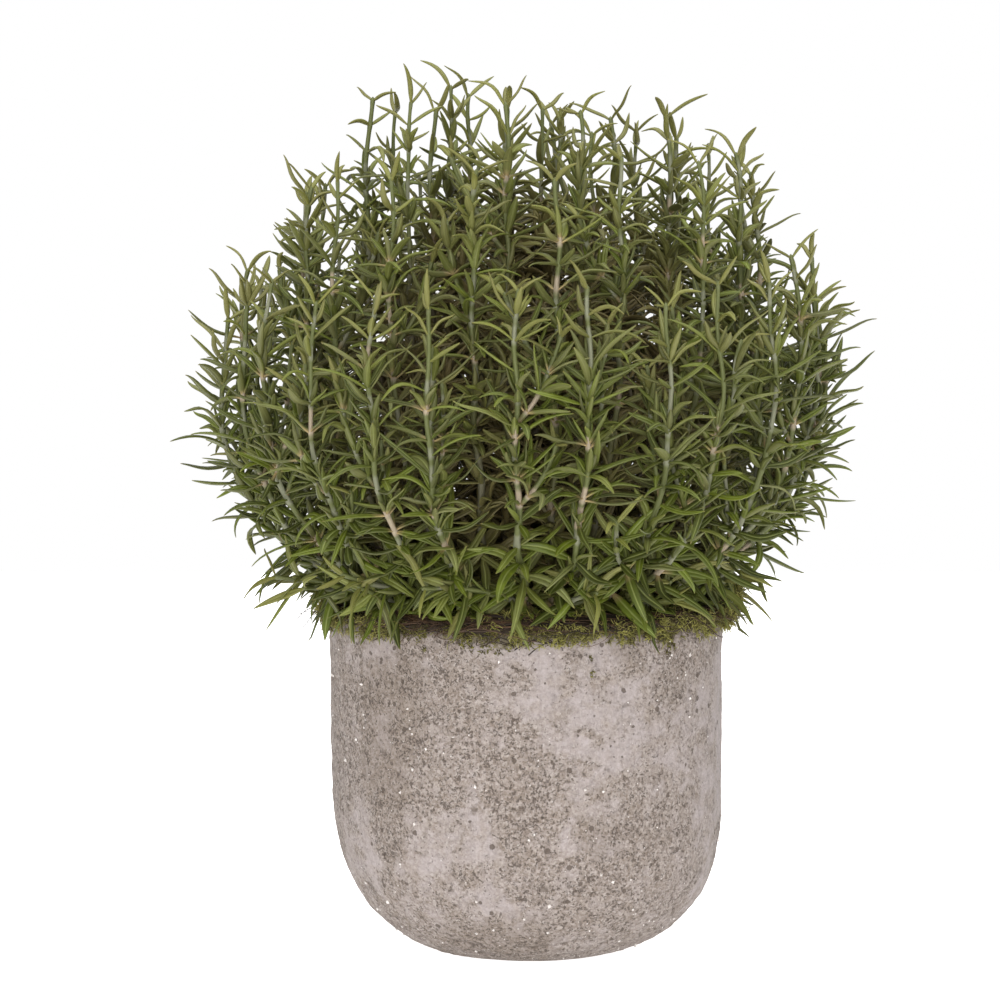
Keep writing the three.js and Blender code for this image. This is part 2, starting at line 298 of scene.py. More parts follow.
def makeCamera():
    data = bpy.data.cameras.new("camera")
    data.lens = view["lens"]
    data.sensor_width = 36
    data.clip_end = 20
    camera = bpy.data.objects.new("camera", data)
    place = np.array([view["aside"], -view["distance"], view["height"]]) * metresPerMillimetre
    camera.location = place
    pitch = math.atan2(view["height"] - view["aimHeight"], view["distance"])
    camera.rotation_euler = (math.pi / 2 - pitch, 0, 0)
    bpy.context.scene.collection.objects.link(camera)
    bpy.context.scene.camera = camera


# Studio: lit white table, and broad lights in front, at the sides, behind and, the strongest, above
studio = {
    "aimHeight": 140,
    "floorSize": 2600,
    "floorColour": "#e4e4e4",
    "floorGlow": 0.99,
    "skyLight": 0.42,
    "skySeen": 1.0,
    "lights": [
        {"name": "keyLight", "place": (-60, -1600, 900), "size": 900, "watts": 12},
        {"name": "frontLight", "place": (20, -1700, 380), "size": 800, "watts": 10.6},
        {"name": "leftFill", "place": (-1500, -500, 520), "size": 1200, "watts": 4.6},
        {"name": "rightFill", "place": (1500, -500, 900), "size": 1200, "watts": 1.4},
        {"name": "backLight", "place": (0, 1700, 900), "size": 1500, "watts": 9},
        {"name": "topLight", "place": (60, -250, 1700), "size": 1500, "watts": 33},
    ],
}


def makeStudio():
    half = studio["floorSize"] / 2
    corners = np.array([[-half, -half, 0], [half, -half, 0], [half, half, 0], [-half, half, 0]])
    uvs = np.array([[[0, 0], [1, 0], [1, 1], [0, 1]]])
    material, _, shader = newMaterial("tableAcrylicLitWhite", 0.9)
    fill(shader, {"Base Color": studio["floorColour"], "Emission Color": (1, 1, 1, 1),
                  "Emission Strength": studio["floorGlow"]})
    floorPart = {"points": corners, "faces": [(np.array([[0, 1, 2, 3]]), uvs)], "values": {}}
    floor = addMesh("floor", [floorPart], [material])
    world = bpy.data.worlds.new("studio")
    bpy.context.scene.world = world
    bpy.context.scene.view_settings.view_transform = "Standard"
    world.use_nodes = True
    tree = world.node_tree
    tree.nodes.clear()
    # the backdrop looks white, and lights the plant less than it would at that brightness
    seen = addNode(tree, "LightPath").outputs["Is Camera Ray"]
    strength = addNode(tree, "MapRange", None, {0: seen, 3: studio["skyLight"], 4: studio["skySeen"]})
    background = addNode(tree, "Background", None, {0: (1, 1, 1, 1), 1: strength})
    addNode(tree, "OutputWorld", None, {0: background})
    for light in studio["lights"]:
        data = bpy.data.lights.new(light["name"], "AREA")
        data.size = light["size"] * metresPerMillimetre
        data.energy = light["watts"]
        lamp = bpy.data.objects.new(light["name"], data)
        lamp.location = np.array(light["place"]) * metresPerMillimetre
        x, y, z = light["place"]
        lean = math.atan2(math.hypot(x, y), z - studio["aimHeight"])
        lamp.rotation_euler = (lean, 0, math.atan2(x, -y))
        bpy.context.scene.collection.objects.link(lamp)


# Pot: cast lightweight concrete, whitewashed and rubbed back

pot = {
    "height": 110,
    "rimRadius": 63.5,
    "waistRadius": 62.5,
    "footRadius": 17,
    "roundHeight": 52,
    "roundPower": 2.3,
    "wall": 8,
    "floor": 9,
    "rimRound": 2.2,
    "footShift": 1.9,
    "shiftFade": 72,
    "around": 460,
    "wallStep": 0.85,
    "pitCount": 460,
    "pitRadius": (0.5, 1.9),
    "pitDepth": 0.9,
    "swellSize": 24,
    "swellDepth": 0.45,
    "rippleSize": 8,
    "rippleDepth": 0.28,
    "wornSize": 30,
    "grainSize": 2.6,
    "grainDepth": 0.4,
    "creaseWidth": 0.7,
    "creases": [(6, 0.5), (10.5, 0.8), (16, 0.35), (47, 0.3), (73, 0.2)],  # height and depth
    "quartzCount": 700,
    "quartzRadius": (0.16, 0.75),
}


def roundBottom(flatRadius, wallRadius, base, height, steps):
    turn = np.linspace(0, math.pi / 2, steps + 1)
    power = 2 / pot["roundPower"]
    radius = flatRadius + (wallRadius - flatRadius) * np.sin(turn) ** power
    rise = base + height * (1 - np.maximum(np.cos(turn), 0) ** power)
    return np.stack([radius, rise], axis=1)


def evenly(line, step):
    # the same line with points this far apart
    reach = np.concatenate([[0], np.cumsum(np.linalg.norm(np.diff(line, axis=0), axis=1))])
    at = np.linspace(0, reach[-1], max(2, round(reach[-1] / step) + 1))
    return np.stack([np.interp(at, reach, line[:, k]) for k in (0, 1)], axis=1)


def potProfiles():
    height, rim, rimRound = pot["height"], pot["rimRadius"], pot["rimRound"]
    inner = rim - pot["wall"]
    quarter = np.linspace(0, math.pi / 2, 8)
    lip = np.stack([rim - rimRound + rimRound * np.cos(quarter),
                    height - rimRound + rimRound * np.sin(quarter)], axis=1)
    innerLip = np.stack([inner + rimRound - rimRound * np.sin(quarter),
                         height - rimRound + rimRound * np.cos(quarter)], axis=1)
    bottom = roundBottom(pot["footRadius"], pot["waistRadius"], 0, pot["roundHeight"], 60)
    outside = np.concatenate([[[2, 0]], bottom, lip, innerLip[1:]])
    inside = roundBottom(pot["footRadius"] - 4, inner, pot["floor"],
                         pot["roundHeight"] - pot["floor"], 12)[::-1]
    return evenly(outside, pot["wallStep"]), np.concatenate([inside, [[2, pot["floor"]]]])


def lathe(profile, around):
    turn = np.arange(around) * 2 * math.pi / around
    return ringed(profile[:, :1], turn, profile[:, 1:])


def pitDepths(points):
    # how deep each point of the wall lies in small dents
    rows, around, _ = points.shape
    depth = np.zeros((rows, around))
    spacing = 2 * math.pi * pot["waistRadius"] / around
    for _ in range(pot["pitCount"]):
        row = rng.integers(3, rows - 6)
        column = rng.integers(around)
        size = within(pot["pitRadius"], rng.random() ** 4)
        stretch = 1 + 0.8 * rng.random()
        reachRows = int(size / pot["wallStep"]) + 1
        ring = max(points[row, 0, 0] ** 2 + points[row, 0, 1] ** 2, 1) ** 0.5
        columnStep = spacing * ring / pot["waistRadius"]
        reachColumns = min(int(size * stretch / columnStep) + 1, around // 2)
        i = np.arange(max(row - reachRows, 0), min(row + reachRows + 1, rows))
        j = np.arange(column - reachColumns, column + reachColumns + 1)
        rise, run = (i[:, None] - row) * pot["wallStep"], (j[None] - column) * columnStep
        lean = 0.6 * (rng.random() - 0.5)
        far = np.hypot(rise + lean * run, run / stretch) * (0.8 + 0.5 * rng.random((len(i), len(j))))
        deepest = pot["pitDepth"] * (0.4 + 0.6 * size / pot["pitRadius"][1])
        dent = deepest * np.clip(1 - (far / size) ** 2, 0, 1) ** 0.8
        patch = np.ix_(i, j % around)
        depth[patch] = np.maximum(depth[patch], dent)
    return depth


def castConcrete():
    # Lightweight concrete, cast and whitewashed: dull and warm grey, gritty all over, with open pits
    # and smoother, paler patches where the wash has stayed. Pits, holes and cracks are dented, and they
    # are also coloured dark as painted shade
    patterns = {
        "cloud": ("place", 10, 7, 0.65, 0.3),
        "streak": ("drawn", 1.8, 3, 0.6, 0.2),
        "blush": ("place", 3.6, 5, 0.6, 0.4),
        "tan": ("place", 5, 6, 0.7, 0.6),
        "coarseGrit": ("place", 1.9, 3, 0.7, 0.8),
        "fineGrit": ("place", 0.8, 2, 0.7, 0.4),
        "pocks": ("place", 0.85, 3, 0.7, 0.3),
        "bend": ("place", 0.9, 2, 0.6),
    }
    # size in millimetres and kind of each pattern of cells, whose edges are bent
    cells = {"grains": (0.8, "F1"), "specks": (1.25, "F1"), "rounds": (3.4, "F1"),
             "hairlines": (2.8, "DISTANCE_TO_EDGE")}
    edgeBend = (0.9 * metresPerMillimetre,) * 3
    steps = {"bent": ("VectorMath", timesPlus, {0: "bend.Color", 1: edgeBend, 2: "place"})}
    for name, (size, feature) in cells.items():
        steps[name] = ("TexVoronoi", {"feature": feature},
                       {"Vector": "bent", "Scale": 1 / (size * metresPerMillimetre)})
        if feature == "F1":
            steps[name + "Lot"] = ("SeparateColor", None, {0: name + ".Color"})  # a draw for each cell
    steps |= {
        # the wash stays in clouds whose edges break up into grit
        "cloudWorn": ("Math", timesPlus, {0: "worn", 1: 0.16, 2: "cloud"}),
        "rough": ("MapRange", eased, {0: "cloudWorn", 1: 0.4, 2: 0.66}),
        "wash": ("Mix", blended, {0: "streak", 6: "#857d7c", 7: "#a39a97"}),
        "sand": ("Mix", blended, {0: "blush", 6: "#89817b", 7: "#a59c97"}),
        "washed": ("Mix", blended, {0: "rough", 6: "wash", 7: "sand"}),
        "tanShare": ("MapRange", eased, {0: "tan", 1: 0.48, 2: 0.64, 3: 0.0, 4: 0.22}),
        "base": ("Mix", blended, {0: "tanShare", 6: "washed", 7: "#857767"}),
        # grit: paste between the sand grains is dark, and each grain has a tone of its own
        "grit": ("Mix", {"data_type": "FLOAT"}, {0: 0.4, 2: "coarseGrit", 3: "fineGrit"}),
        "gritColour": ("ValToRGB", {"stops": {0.35: "#5a4e46", 0.42: "#bcb4ad", 0.48: "#e6e1dd",
                                              0.6: "#ffffff"}}, {0: "grit"}),
        "gritShare": ("MapRange", None, {0: "rough", 3: 0.3, 4: 0.78}),
        "gritted": ("Mix", multiplied, {0: "gritShare", 6: "base", 7: "gritColour"}),
        "grainTone": ("Mix", blended, {0: "grainsLot", 6: "#bdb3aa", 7: "#ffffff"}),
        "grained": ("Mix", multiplied, {0: "gritShare", 6: "gritted", 7: "grainTone"}),
        # open pits: pocks below 1 mm, which crowd together in some places and leave others free
        "pockLimit": ("MapRange", None, {0: "rough", 3: 0.12, 4: 0.255}),
        "crowded": ("Math", timesPlus, {0: "blush", 1: 0.34, 2: "pockLimit"}),
        "pockDepth": ("Math", minus, {0: "crowded", 1: "pocks"}),
        "pock": ("MapRange", eased, {0: "pockDepth", 1: -0.015, 2: 0.04}),
        # specks and round holes in some of the cells
        "speckLeast": ("MapRange", None, {0: "rough", 3: 0.8, 4: 0.5}),
        "speckSize": ("MapRange", None, {0: "specksLot", 1: "speckLeast", 2: 1.0, 3: -0.05, 4: 0.3}),
        "speckDepth": ("Math", minus, {0: "speckSize", 1: "specks"}),
        "speck": ("MapRange", eased, {0: "speckDepth", 1: -0.04, 2: 0.08, 3: 0.0, 4: 0.8}),
        "holeSize": ("MapRange", None, {0: "roundsLot", 1: 0.62, 2: 1.0, 3: 0.02, 4: 0.27}),
        "holeDepth": ("Math", minus, {0: "holeSize", 1: "rounds"}),
        "hole": ("MapRange", eased, {0: "holeDepth", 1: -0.02, 2: 0.03}),
        # the dents of the mesh, and hairline cracks
        "ragged": ("Math", timesPlus, {0: "coarseGrit", 1: -1.1, 2: "pit"}),
        "dent": ("MapRange", eased, {0: "ragged", 1: -0.2, 2: 0.25, 3: 0.0, 4: 0.6}),
        "line": ("MapRange", eased, {0: "hairlines", 1: 0.035, 2: 0.0}),
        "lineSeen": ("MapRange", eased, {0: "blush", 1: 0.5, 2: 0.62, 3: 0.0, 4: 0.25}),
        "crack": ("Math", times, {0: "line", 1: "lineSeen"}),
    }
    deepest = "pock"
    for other in ("dent", "hole", "speck", "crack"):
        steps[other + "Too"] = ("Math", {"operation": "MAXIMUM"}, {0: deepest, 1: other})
        deepest = other + "Too"
    steps |= {
        # painted shade: pits, pocks, specks, holes and cracks are darkened by their depth, besides
        # their bump
        "holeShadeShare": ("Math", times, {0: deepest, 1: 0.86}),
        "holeShaded": ("Mix", blended, {0: "holeShadeShare", 6: "grained", 7: "#4a3f37"}),
        "mossLimit": ("Math", timesPlus, {0: "coarseGrit", 1: -1.6, 2: "mossy"}),
        "mossShare": ("MapRange", eased, {0: "mossLimit", 1: -0.08, 2: 0.16, 3: 0.0, 4: 0.6}),
        "mossed": ("Mix", blended, {0: "mossShare", 6: "holeShaded", 7: "#544d22"}),
        "surface": ("Mix", multiplied, {0: "stain", 6: "mossed", 7: "#a39378"}),
        "raised": ("Math", times, {0: "grit", 1: "gritShare"}),
        "height": ("Math", timesPlus, {0: deepest, 1: -0.6, 2: "raised"}),
        "bump": ("Bump", None, {"Height": "height", "Strength": 0.9, "Distance": 0.0006}),
    }
    reads = ("pit", "worn", "stain", "mossy")
    return buildMaterial("castConcreteWhitewashed", 0.9, 1.5, reads, patterns, steps, stretch=0.1)


def quartzSand():
    # Quartz grains in the sand of the mix: clear to milky white, broken faces that catch the light
    return buildMaterial("quartzSandBroken", 0.25, 1.54, (), {"milk": ("place", 2, 2)}, {
        "surface": ("Mix", blended, {0: "milk", 6: "#a59a93", 7: "#e6e2de"})})


def gridPart(points, values, bandLow, bandHigh, closeStart, closeEnd):
    # a tube-like grid of rows round the Z axis, with a fan of triangles at each end if asked
    rows, around, _ = points.shape
    row = np.arange(rows - 1)[:, None]
    column = np.arange(around)[None]
    after = (column + 1) % around
    quads = np.stack([row * around + column, row * around + after,
                      (row + 1) * around + after, (row + 1) * around + column], axis=-1)
    bandWide = bandHigh - bandLow
    uvs = []
    for i, j in ((0, 0), (1, 0), (1, 1), (0, 1)):
        up = bandLow + bandWide * (0.02 + 0.96 * (row + j) / (rows - 1))
        uvs.append(np.stack(np.broadcast_arrays((column + i) / around, up), axis=-1))
    uvs = np.stack(uvs, axis=-2)
    flat = points.reshape(-1, 3)
    faces = [(quads.reshape(-1, 4), uvs.reshape(-1, 4, 2))]
    filled = {label: value.ravel() for label, value in values.items()}
    # the order of a fan's first two corners is such that its face looks out
    ends = [(closeStart, 0, bandLow, 0.02, [1, 0]),
            (closeEnd, (rows - 1) * around, bandHigh, -0.02, [0, 1])]
    for wanted, start, edge, inset, order in ends:
        if not wanted:
            continue
        ring = start + np.arange(around)
        filled = {label: np.append(value, value[ring].mean()) for label, value in filled.items()}
        pair = np.stack([ring, np.roll(ring, -1)], axis=-1)[:, order]
        fan = np.concatenate([pair, np.full((around, 1), len(flat))], axis=1)
        flat = np.concatenate([flat, [flat[ring].mean(axis=0)]])
        left = np.arange(around) / around
        across = (left[:, None] + [0, 1 / around])[:, order]
        outer = np.stack([across, np.full((around, 2), edge + inset * bandWide)], axis=-1)
        tip = np.stack([left + 1 / around / 2, np.full(around, edge)], axis=-1)[:, None]
        faces.append((fan, np.concatenate([outer, tip], axis=1)))
    return {"points": flat, "faces": faces, "values": filled}


def footShift(points):
    # the foot isn't quite below the middle of the rim
    return pot["footShift"] * (1 - smooth(0, pot["shiftFade"], points[..., 2]))


def makePot():
    outside, inside = potProfiles()
    around = pot["around"]
    points = lathe(outside, around)
    slope = unit(np.gradient(outside, axis=0))[:, None, :, None]
    outward = unit(points * [1, 1, 0]) * slope[:, :, 1] - np.array([0, 0, 1]) * slope[:, :, 0]
    plain = points
    height = plain[..., 2]
    free = smooth(0.2, 3, height)  # the flat foot stays flat
    swell = (noise(plain, pot["swellSize"], 3) - 0.5) * 2 * pot["swellDepth"]
    ripple = roughNoise(plain * [0.6, 0.6, 1.6], pot["rippleSize"], 11)
    ripple = (ripple - 0.5) * 2 * pot["rippleDepth"]
    worn = smooth(0.4, 0.6, roughNoise(plain * [1, 1, 0.8], pot["wornSize"], 5, 4))
    worn = np.maximum(worn, 0.8 * smooth(42, 10, height))  # rougher towards the foot
    grain = (roughNoise(plain, pot["grainSize"], 21, 2) - 0.5) * 2 * pot["grainDepth"]
    depth = pitDepths(points)
    ring = np.arctan2(points[..., 1], points[..., 0])
    for number, (crease, most) in enumerate(pot["creases"]):
        wave = 1.6 * np.sin(2 * ring + 2 * number) + 0.7 * np.sin(5 * ring + number)
        broken = smooth(0.5, 0.62, roughNoise(plain * [1, 1, 0.3], 12, 41 + number, 4))
        groove = most * np.exp(-((height - crease - wave) / pot["creaseWidth"]) ** 2)
        depth = np.maximum(depth, groove * broken)
    out = free * (swell + ripple + grain * (0.35 + 0.65 * worn) - depth * (0.55 + 0.45 * worn))
    points = points + outward * out[..., None]
    makeQuartz(points, worn)
    stain = smooth(0.52, 0.7, roughNoise(plain * [1, 1, 0.5], 22, 31)) * 0.3
    stain = np.maximum(stain, 0.6 * smooth(pot["height"] - 7, pot["height"], points[..., 2]))
    # moss stains the wall where it clings below the rim
    mossy = np.zeros(ring.shape)
    drop = np.maximum(pot["height"] - points[..., 2], 0)
    fromFront = (np.degrees(ring) + 90 + 180) % 360 - 180
    lumps = roughNoise(plain, 3, 35, 2)
    for middle, half, fall in moss["patches"]:
        far = np.abs((fromFront - middle + 180) % 360 - 180) / half
        reach = fall * np.sqrt(np.clip(1 - far**2, 0, 1)) * (0.5 + lumps)
        mossy = np.maximum(mossy, smooth(1.1, 0.5, drop / np.maximum(reach, 0.1)))
    points[..., 0] += footShift(points)
    values = {"pit": depth * free, "worn": worn, "stain": stain, "mossy": mossy}
    wall = gridPart(points, values, 0.12, 1, True, False)
    insideGrid = lathe(np.concatenate([outside[-1:], inside]), around)
    insideGrid[0] = points[-1]
    lining = gridPart(insideGrid, {}, 0, 0.12, False, True)
    piece = addMesh("pot_cast", [wall, lining], [castConcrete()])
    fuse(piece)
    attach(piece, "root")
    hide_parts("pot")
    print("pot:", len(piece.data.polygons), "faces")


def makeQuartz(points, worn):
    # angular grains that lie in the wall and stand a little out of it
    count = pot["quartzCount"]
    rows, around, _ = points.shape
    onWall = (points[..., 2] > 3) & (np.arange(rows) < rows - 16)[:, None]
    chance = np.where(onWall, 0.25 + worn, 0).ravel()
    chosen = rng.choice(rows * around, count, p=chance / chance.sum())
    size = within(pot["quartzRadius"], rng.random(count) ** 4)
    corners = np.array([[1, 0, 0], [-1, 0, 0], [0, 1, 0], [0, -1, 0], [0, 0, 1], [0, 0, -1]])
    grains = corners * size[:, None, None] * (0.6 + 0.8 * rng.random((count, 6, 1)))
    spin, _ = np.linalg.qr(rng.normal(size=(count, 3, 3)))
    spin *= np.sign(np.linalg.det(spin))[:, None, None]
    grains = grains @ spin + points.reshape(-1, 3)[chosen][:, None]
    grains[..., 0] += footShift(grains)
    faces = np.array([[0, 2, 4], [2, 1, 4], [1, 3, 4], [3, 0, 4],
                      [2, 0, 5], [1, 2, 5], [3, 1, 5], [0, 3, 5]])
    faces = (faces[None] + 6 * np.arange(count)[:, None, None]).reshape(-1, 3)
    columns = math.ceil(math.sqrt(count))
    cell = np.stack([np.arange(count) % columns, np.arange(count) // columns], axis=-1) / columns
    triangle = np.array([[0.1, 0.1], [0.9, 0.1], [0.5, 0.9]]) / columns
    uvs = np.repeat(cell, 8, axis=0)[:, None] + triangle
    part = {"points": grains.reshape(-1, 3), "faces": [(faces, uvs)], "values": {}}
    piece = addMesh("quartz_grains", [part], [quartzSand()], smoothShaded=False)
    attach(piece, "root")


def fuse(piece):
    # joins the seams where two grids share their points
    import bmesh
    work = bmesh.new()
    work.from_mesh(piece.data)
    bmesh.ops.remove_doubles(work, verts=work.verts, dist=1e-7)
    work.to_mesh(piece.data)
    work.free()


# Moss and coir tucked round the rim, and the soil below

moss = {
    "innerRadius": 47.5,
    "bulge": 3.1,
    "hang": (0.2, 1.2),
    "topHeight": 113.2,
    "lumpHeight": 1.6,
    "lumpSize": 4.5,
    "lumpDepth": 2.2,
    "gap": 0.3,
    "around": 420,
    "step": 1.1,
    "tufts": 1150,
    "tuftFibres": 6,
    "fibreLength": (1.2, 4.5),
    "fibreRadius": 0.15,
    "curl": 2.6,
    "sag": 0.5,
    # moss that clings to the wall: degrees from the front, half width in degrees, drop
    "patches": [(-44, 4, 3.5), (-33, 4, 4.5), (-11, 10, 7.5), (10, 11, 4.6), (27, 6, 2.6),
                (46, 13, 4.6), (44.5, 3, 10), (69, 4, 5), (-72, 5, 3)],
    # single specks of it further down: degrees from the front, drop
    "specks": [(17.7, 8.6), (18.4, 13.6), (-30, 6.5), (118, 8), (205, 9), (250, 12)],
    "speckFlecks": 5,
    "otherPatches": 12,
    "flecksPerArea": 1.9,
    "fleckLength": (0.3, 0.9),
    "fleckRadius": 0.15,
    "fleckFibres": 4,
    # cushions of moss that bulge out over the rim: degrees from the front, radius, height above the
    # rim, size across, size upwards and number of tufts
    "cushions": [(-90, 64.5, 3.5, 5.5, 4.5, 70), (-80, 64.5, 1.5, 4, 3, 36), (-101, 63, 5, 5, 5, 44),
                 (86, 66.5, 5, 5.5, 6.5, 84), (95, 66, 2, 5, 5, 60), (76, 65.5, -1, 3, 3.5, 34),
                 (150, 64, 2, 5, 4, 40), (200, 64, 2.5, 6, 4, 46), (-128, 64.5, 2, 5, 3.5, 40)],
    "cushionLength": (1, 4),
    "fringe": 1100,
    "fringeFall": 6,
    "fringeLength": (0.8, 3),
    "coirCount": 380,
    # radii, and how far above the rim coir lies there, or how low rootlets may hang
    "coirCrown": ([56, 62, 64.5, 67.5, 78], [3.6, 2.4, 0.8, -1.5, -4]),
    "rootletFloor": ([0, 63, 65, 66], [2.2, 2.2, -1, -100]),
    "coirFrom": 58.5,
    "coirBand": 6.6,
    "coirLength": (12, 50),
    "coirRadius": (0.11, 0.3),
    "skein": (-118, 0.17, 0.24),  # where a thicker skein lies, how far it spreads, its share of all
    "strayShare": 0.2,
    "strayReach": (3, 13),
    "wallCurls": 26,
    "wallCurlReach": (3, 8),
    "wallCurlFront": 0.45,  # share of them at the front
    "rootlets": 70,
    "rootletsAside": 0.55,
    "rootletFrom": 60,
    "rootletLength": (5, 15),
    "rootletRadius": 0.13,
}


soil = {"edgeHeight": 103, "crownHeight": 105, "holeDepth": 14, "crumbSize": 4, "crumbHeight": 2.6}


def soilHeight(radius):
    share = min(radius / (pot["rimRadius"] - pot["wall"]), 1)
    return soil["crownHeight"] + (soil["edgeHeight"] - soil["crownHeight"]) * share


def mossSwell(turn):
    waves = np.sin(3 * turn + 0.6) + np.sin(7 * turn) + np.sin(11 * turn + 2)
    return smooth(-0.6, 2.2, waves)


def mossProfile(swell, ragged):
    # a cut through the moss; ragged, from 0 to 1, draws its lower edge and its outside in
    height, rim, gap = pot["height"], pot["rimRadius"], moss["gap"]
    lip = within(moss["hang"], swell) * (0.15 + 0.8 * ragged)
    bulge = moss["bulge"] * swell * ragged
    outside = rim + gap + 0.3 + 0.35 * bulge
    top = moss["topHeight"] + moss["lumpHeight"] * swell
    bed = soilHeight(moss["innerRadius"]) + gap
    inner = rim - pot["wall"] - gap
    return np.array([
        [moss["innerRadius"], bed], [inner, bed], [inner, height - pot["rimRound"]],
        [inner + pot["rimRound"], height + gap], [rim - pot["rimRound"], height + gap],
        [rim + gap, height - 0.2], [rim + gap, height - 0.3 - lip],
        [outside, height - 0.2 - 0.7 * lip], [outside - 0.4, height + 1.2],
        [rim - 5, top], [moss["innerRadius"] - 0.6, height], [moss["innerRadius"], bed],
    ])


def ropes(lines, radii, sides, values, band):
    # round strands along these lines, an array of strands by points by three
    ahead = unit(np.gradient(lines, axis=1))
    aside = unit(np.cross(ahead, [0.31, 0.17, 0.93]))
    over = np.cross(ahead, aside)
    corner = np.arange(sides) * 2 * math.pi / sides
    x = (np.cos(corner) * radii[..., None])[..., None]
    y = (np.sin(corner) * radii[..., None])[..., None]
    rings = lines[:, :, None] + aside[:, :, None] * x + over[:, :, None] * y
    roots = lines[:, 0] - ahead[:, 0] * radii[:, :1]
    tips = lines[:, -1] + ahead[:, -1] * radii[:, -1:]
    return tubes(rings, roots, tips, values, band)


def curls(starts, directions, lengths, curl, ringCount, fall):
    # lines that set out in these directions, curl at random and fall under their weight
    count = len(starts)
    turnAxis = unit(np.cross(directions, rng.normal(size=(count, 3))))
    s = np.linspace(0, 1, ringCount)[None, :, None]
    angle = curl[:, None, None] * s
    aside = np.cross(turnAxis, directions)
    ahead = directions[:, None] * np.cos(angle) + aside[:, None] * np.sin(angle)
    ahead[..., 2] -= fall * s[..., 0]
    ahead = unit(ahead)
    steps = lengths[:, None, None] / (ringCount - 1)
    between = 0.5 * (ahead[:, 1:] + ahead[:, :-1]) * steps
    travelled = np.concatenate([np.zeros((count, 1, 3)), np.cumsum(between, axis=1)], axis=1)
    return starts[:, None] + travelled


def driedMoss():
    # Sheet moss, dried: dull matted fibres, brown below and yellow-green at their tips
    patterns = {"patch": ("place", 6, 4)}
    return buildMaterial("sheetMossDried", 0.9, 1.4, ("tone", "lengthwise"), patterns, {
        "mixed": ("Math", timesPlus, {0: "patch", 1: 0.5, 2: "tone"}),
        "surface": ("ValToRGB", {"stops": {0.2: "#241a0e", 0.45: "#403518", 0.62: "#504b20",
                                           0.85: "#67642c", 1.0: "#8a8640"}}, {0: "mixed"}),
        "tipShare": ("Math", times, {0: "lengthwise", 1: 0.35}),
    }, [("tipShare", "#a8a262")])


def coirFibre():
    # Coir: dark brown coconut fibre, dull and a little uneven in colour
    return buildMaterial("coirFibreBrown", 0.75, 1.5, ("tone",), {}, {
        "surface": ("Mix", blended, {0: "tone", 6: "#1a1109", 7: "#553b22"})})


def fleckPart():
    # short bits of moss that lie flat on the wall in lumpy patches below the rim
    others = zip(70 + 220 * rng.random(moss["otherPatches"]), 3 + 9 * rng.random(moss["otherPatches"]),
                 2.5 + 7 * rng.random(moss["otherPatches"]) ** 1.5)
    starts = []
    for middle, half, drop in [*moss["patches"], *others]:
        area = 2 * math.radians(half) * pot["rimRadius"] * drop
        count = int(area * moss["flecksPerArea"]) + 8
        across = rng.uniform(-1, 1, count)
        turn = math.radians(-90) + np.radians(middle + half * across)
        fall = drop * rng.random(count) ** 1.3 * np.sqrt(1 - across**2)
        height = pot["height"] - 0.4 - fall
        starts.append(ringed(pot["rimRadius"], turn, height))
    starts = np.concatenate(starts)
    lumps = noise(starts, 2.2, 57) + 0.25 * smooth(4, 0, pot["height"] - starts[:, 2])
    starts = starts[lumps > 0.42]
    middle, drop = np.array(moss["specks"]).T
    single = ringed(pot["rimRadius"], np.radians(middle - 90), pot["height"] - drop)
    single = np.repeat(single, moss["speckFlecks"], axis=0)
    starts = np.concatenate([starts, single + 0.35 * rng.normal(size=single.shape)])
    starts = np.repeat(starts, moss["fleckFibres"], axis=0)
    outward = unit(starts * [1, 1, 0])
    starts = starts + outward * (0.05 + 0.5 * rng.random((len(starts), 1)))
    starts += rng.normal(size=starts.shape) * 0.3
    wild = rng.normal(size=starts.shape)
    wild -= outward * np.sum(wild * outward, axis=1, keepdims=True) * 0.75
    lines = curls(starts, unit(wild), within(moss["fleckLength"], rng.random(len(starts)) ** 2),
                  2.5 * rng.random(len(starts)), 3, 0.15)
    far = np.linalg.norm(lines[..., :2], axis=-1)
    lines[..., :2] *= (np.maximum(far, pot["rimRadius"] - 0.1) / far)[..., None]
    s = np.linspace(0, 1, 3)
    radii = moss["fleckRadius"] * (1 - 0.4 * s)[None] * (0.7 + 0.7 * rng.random(len(lines)))[:, None]
    fibres = moss["fleckFibres"]
    tone = 0.05 + 0.65 * np.repeat(rng.random(len(lines) // fibres), fibres)
    values = {"tone": tone[:, None, None], "lengthwise": 0.4 * s[None, :, None]}
    return ropes(lines, radii, 3, values, (0, 1))


def cushionPart():
    # tufts all over a few rounded lumps
    lines, tones = [], []
    for middle, radius, rise, wide, high, count in moss["cushions"]:
        outward = polar(1, math.radians(middle - 90), 0)
        across = np.array([-outward[1], outward[0], 0])
        facing = unit(rng.normal(size=(count, 3)) + 0.5 * outward)
        facing = np.repeat(facing, moss["tuftFibres"], axis=0)
        lump = outward * (facing @ outward)[:, None] * 0.6 * wide
        lump = lump + across * (facing @ across)[:, None] * wide + [0, 0, 1] * facing[:, 2:] * high
        starts = polar(radius, math.radians(middle - 90), pot["height"] + rise) + lump * 0.85
        starts = starts + 0.35 * rng.normal(size=starts.shape)
        lengths = within(moss["cushionLength"], rng.random(len(starts)) ** 1.7)
        directions = unit(facing + 0.9 * rng.normal(size=starts.shape))
        lines.append(tuftLines(starts, directions, lengths))
        tones.append(0.25 + 0.75 * np.repeat(rng.random(count), moss["tuftFibres"]))
    return tuftFibres(offWall(np.concatenate(lines)), np.concatenate(tones))


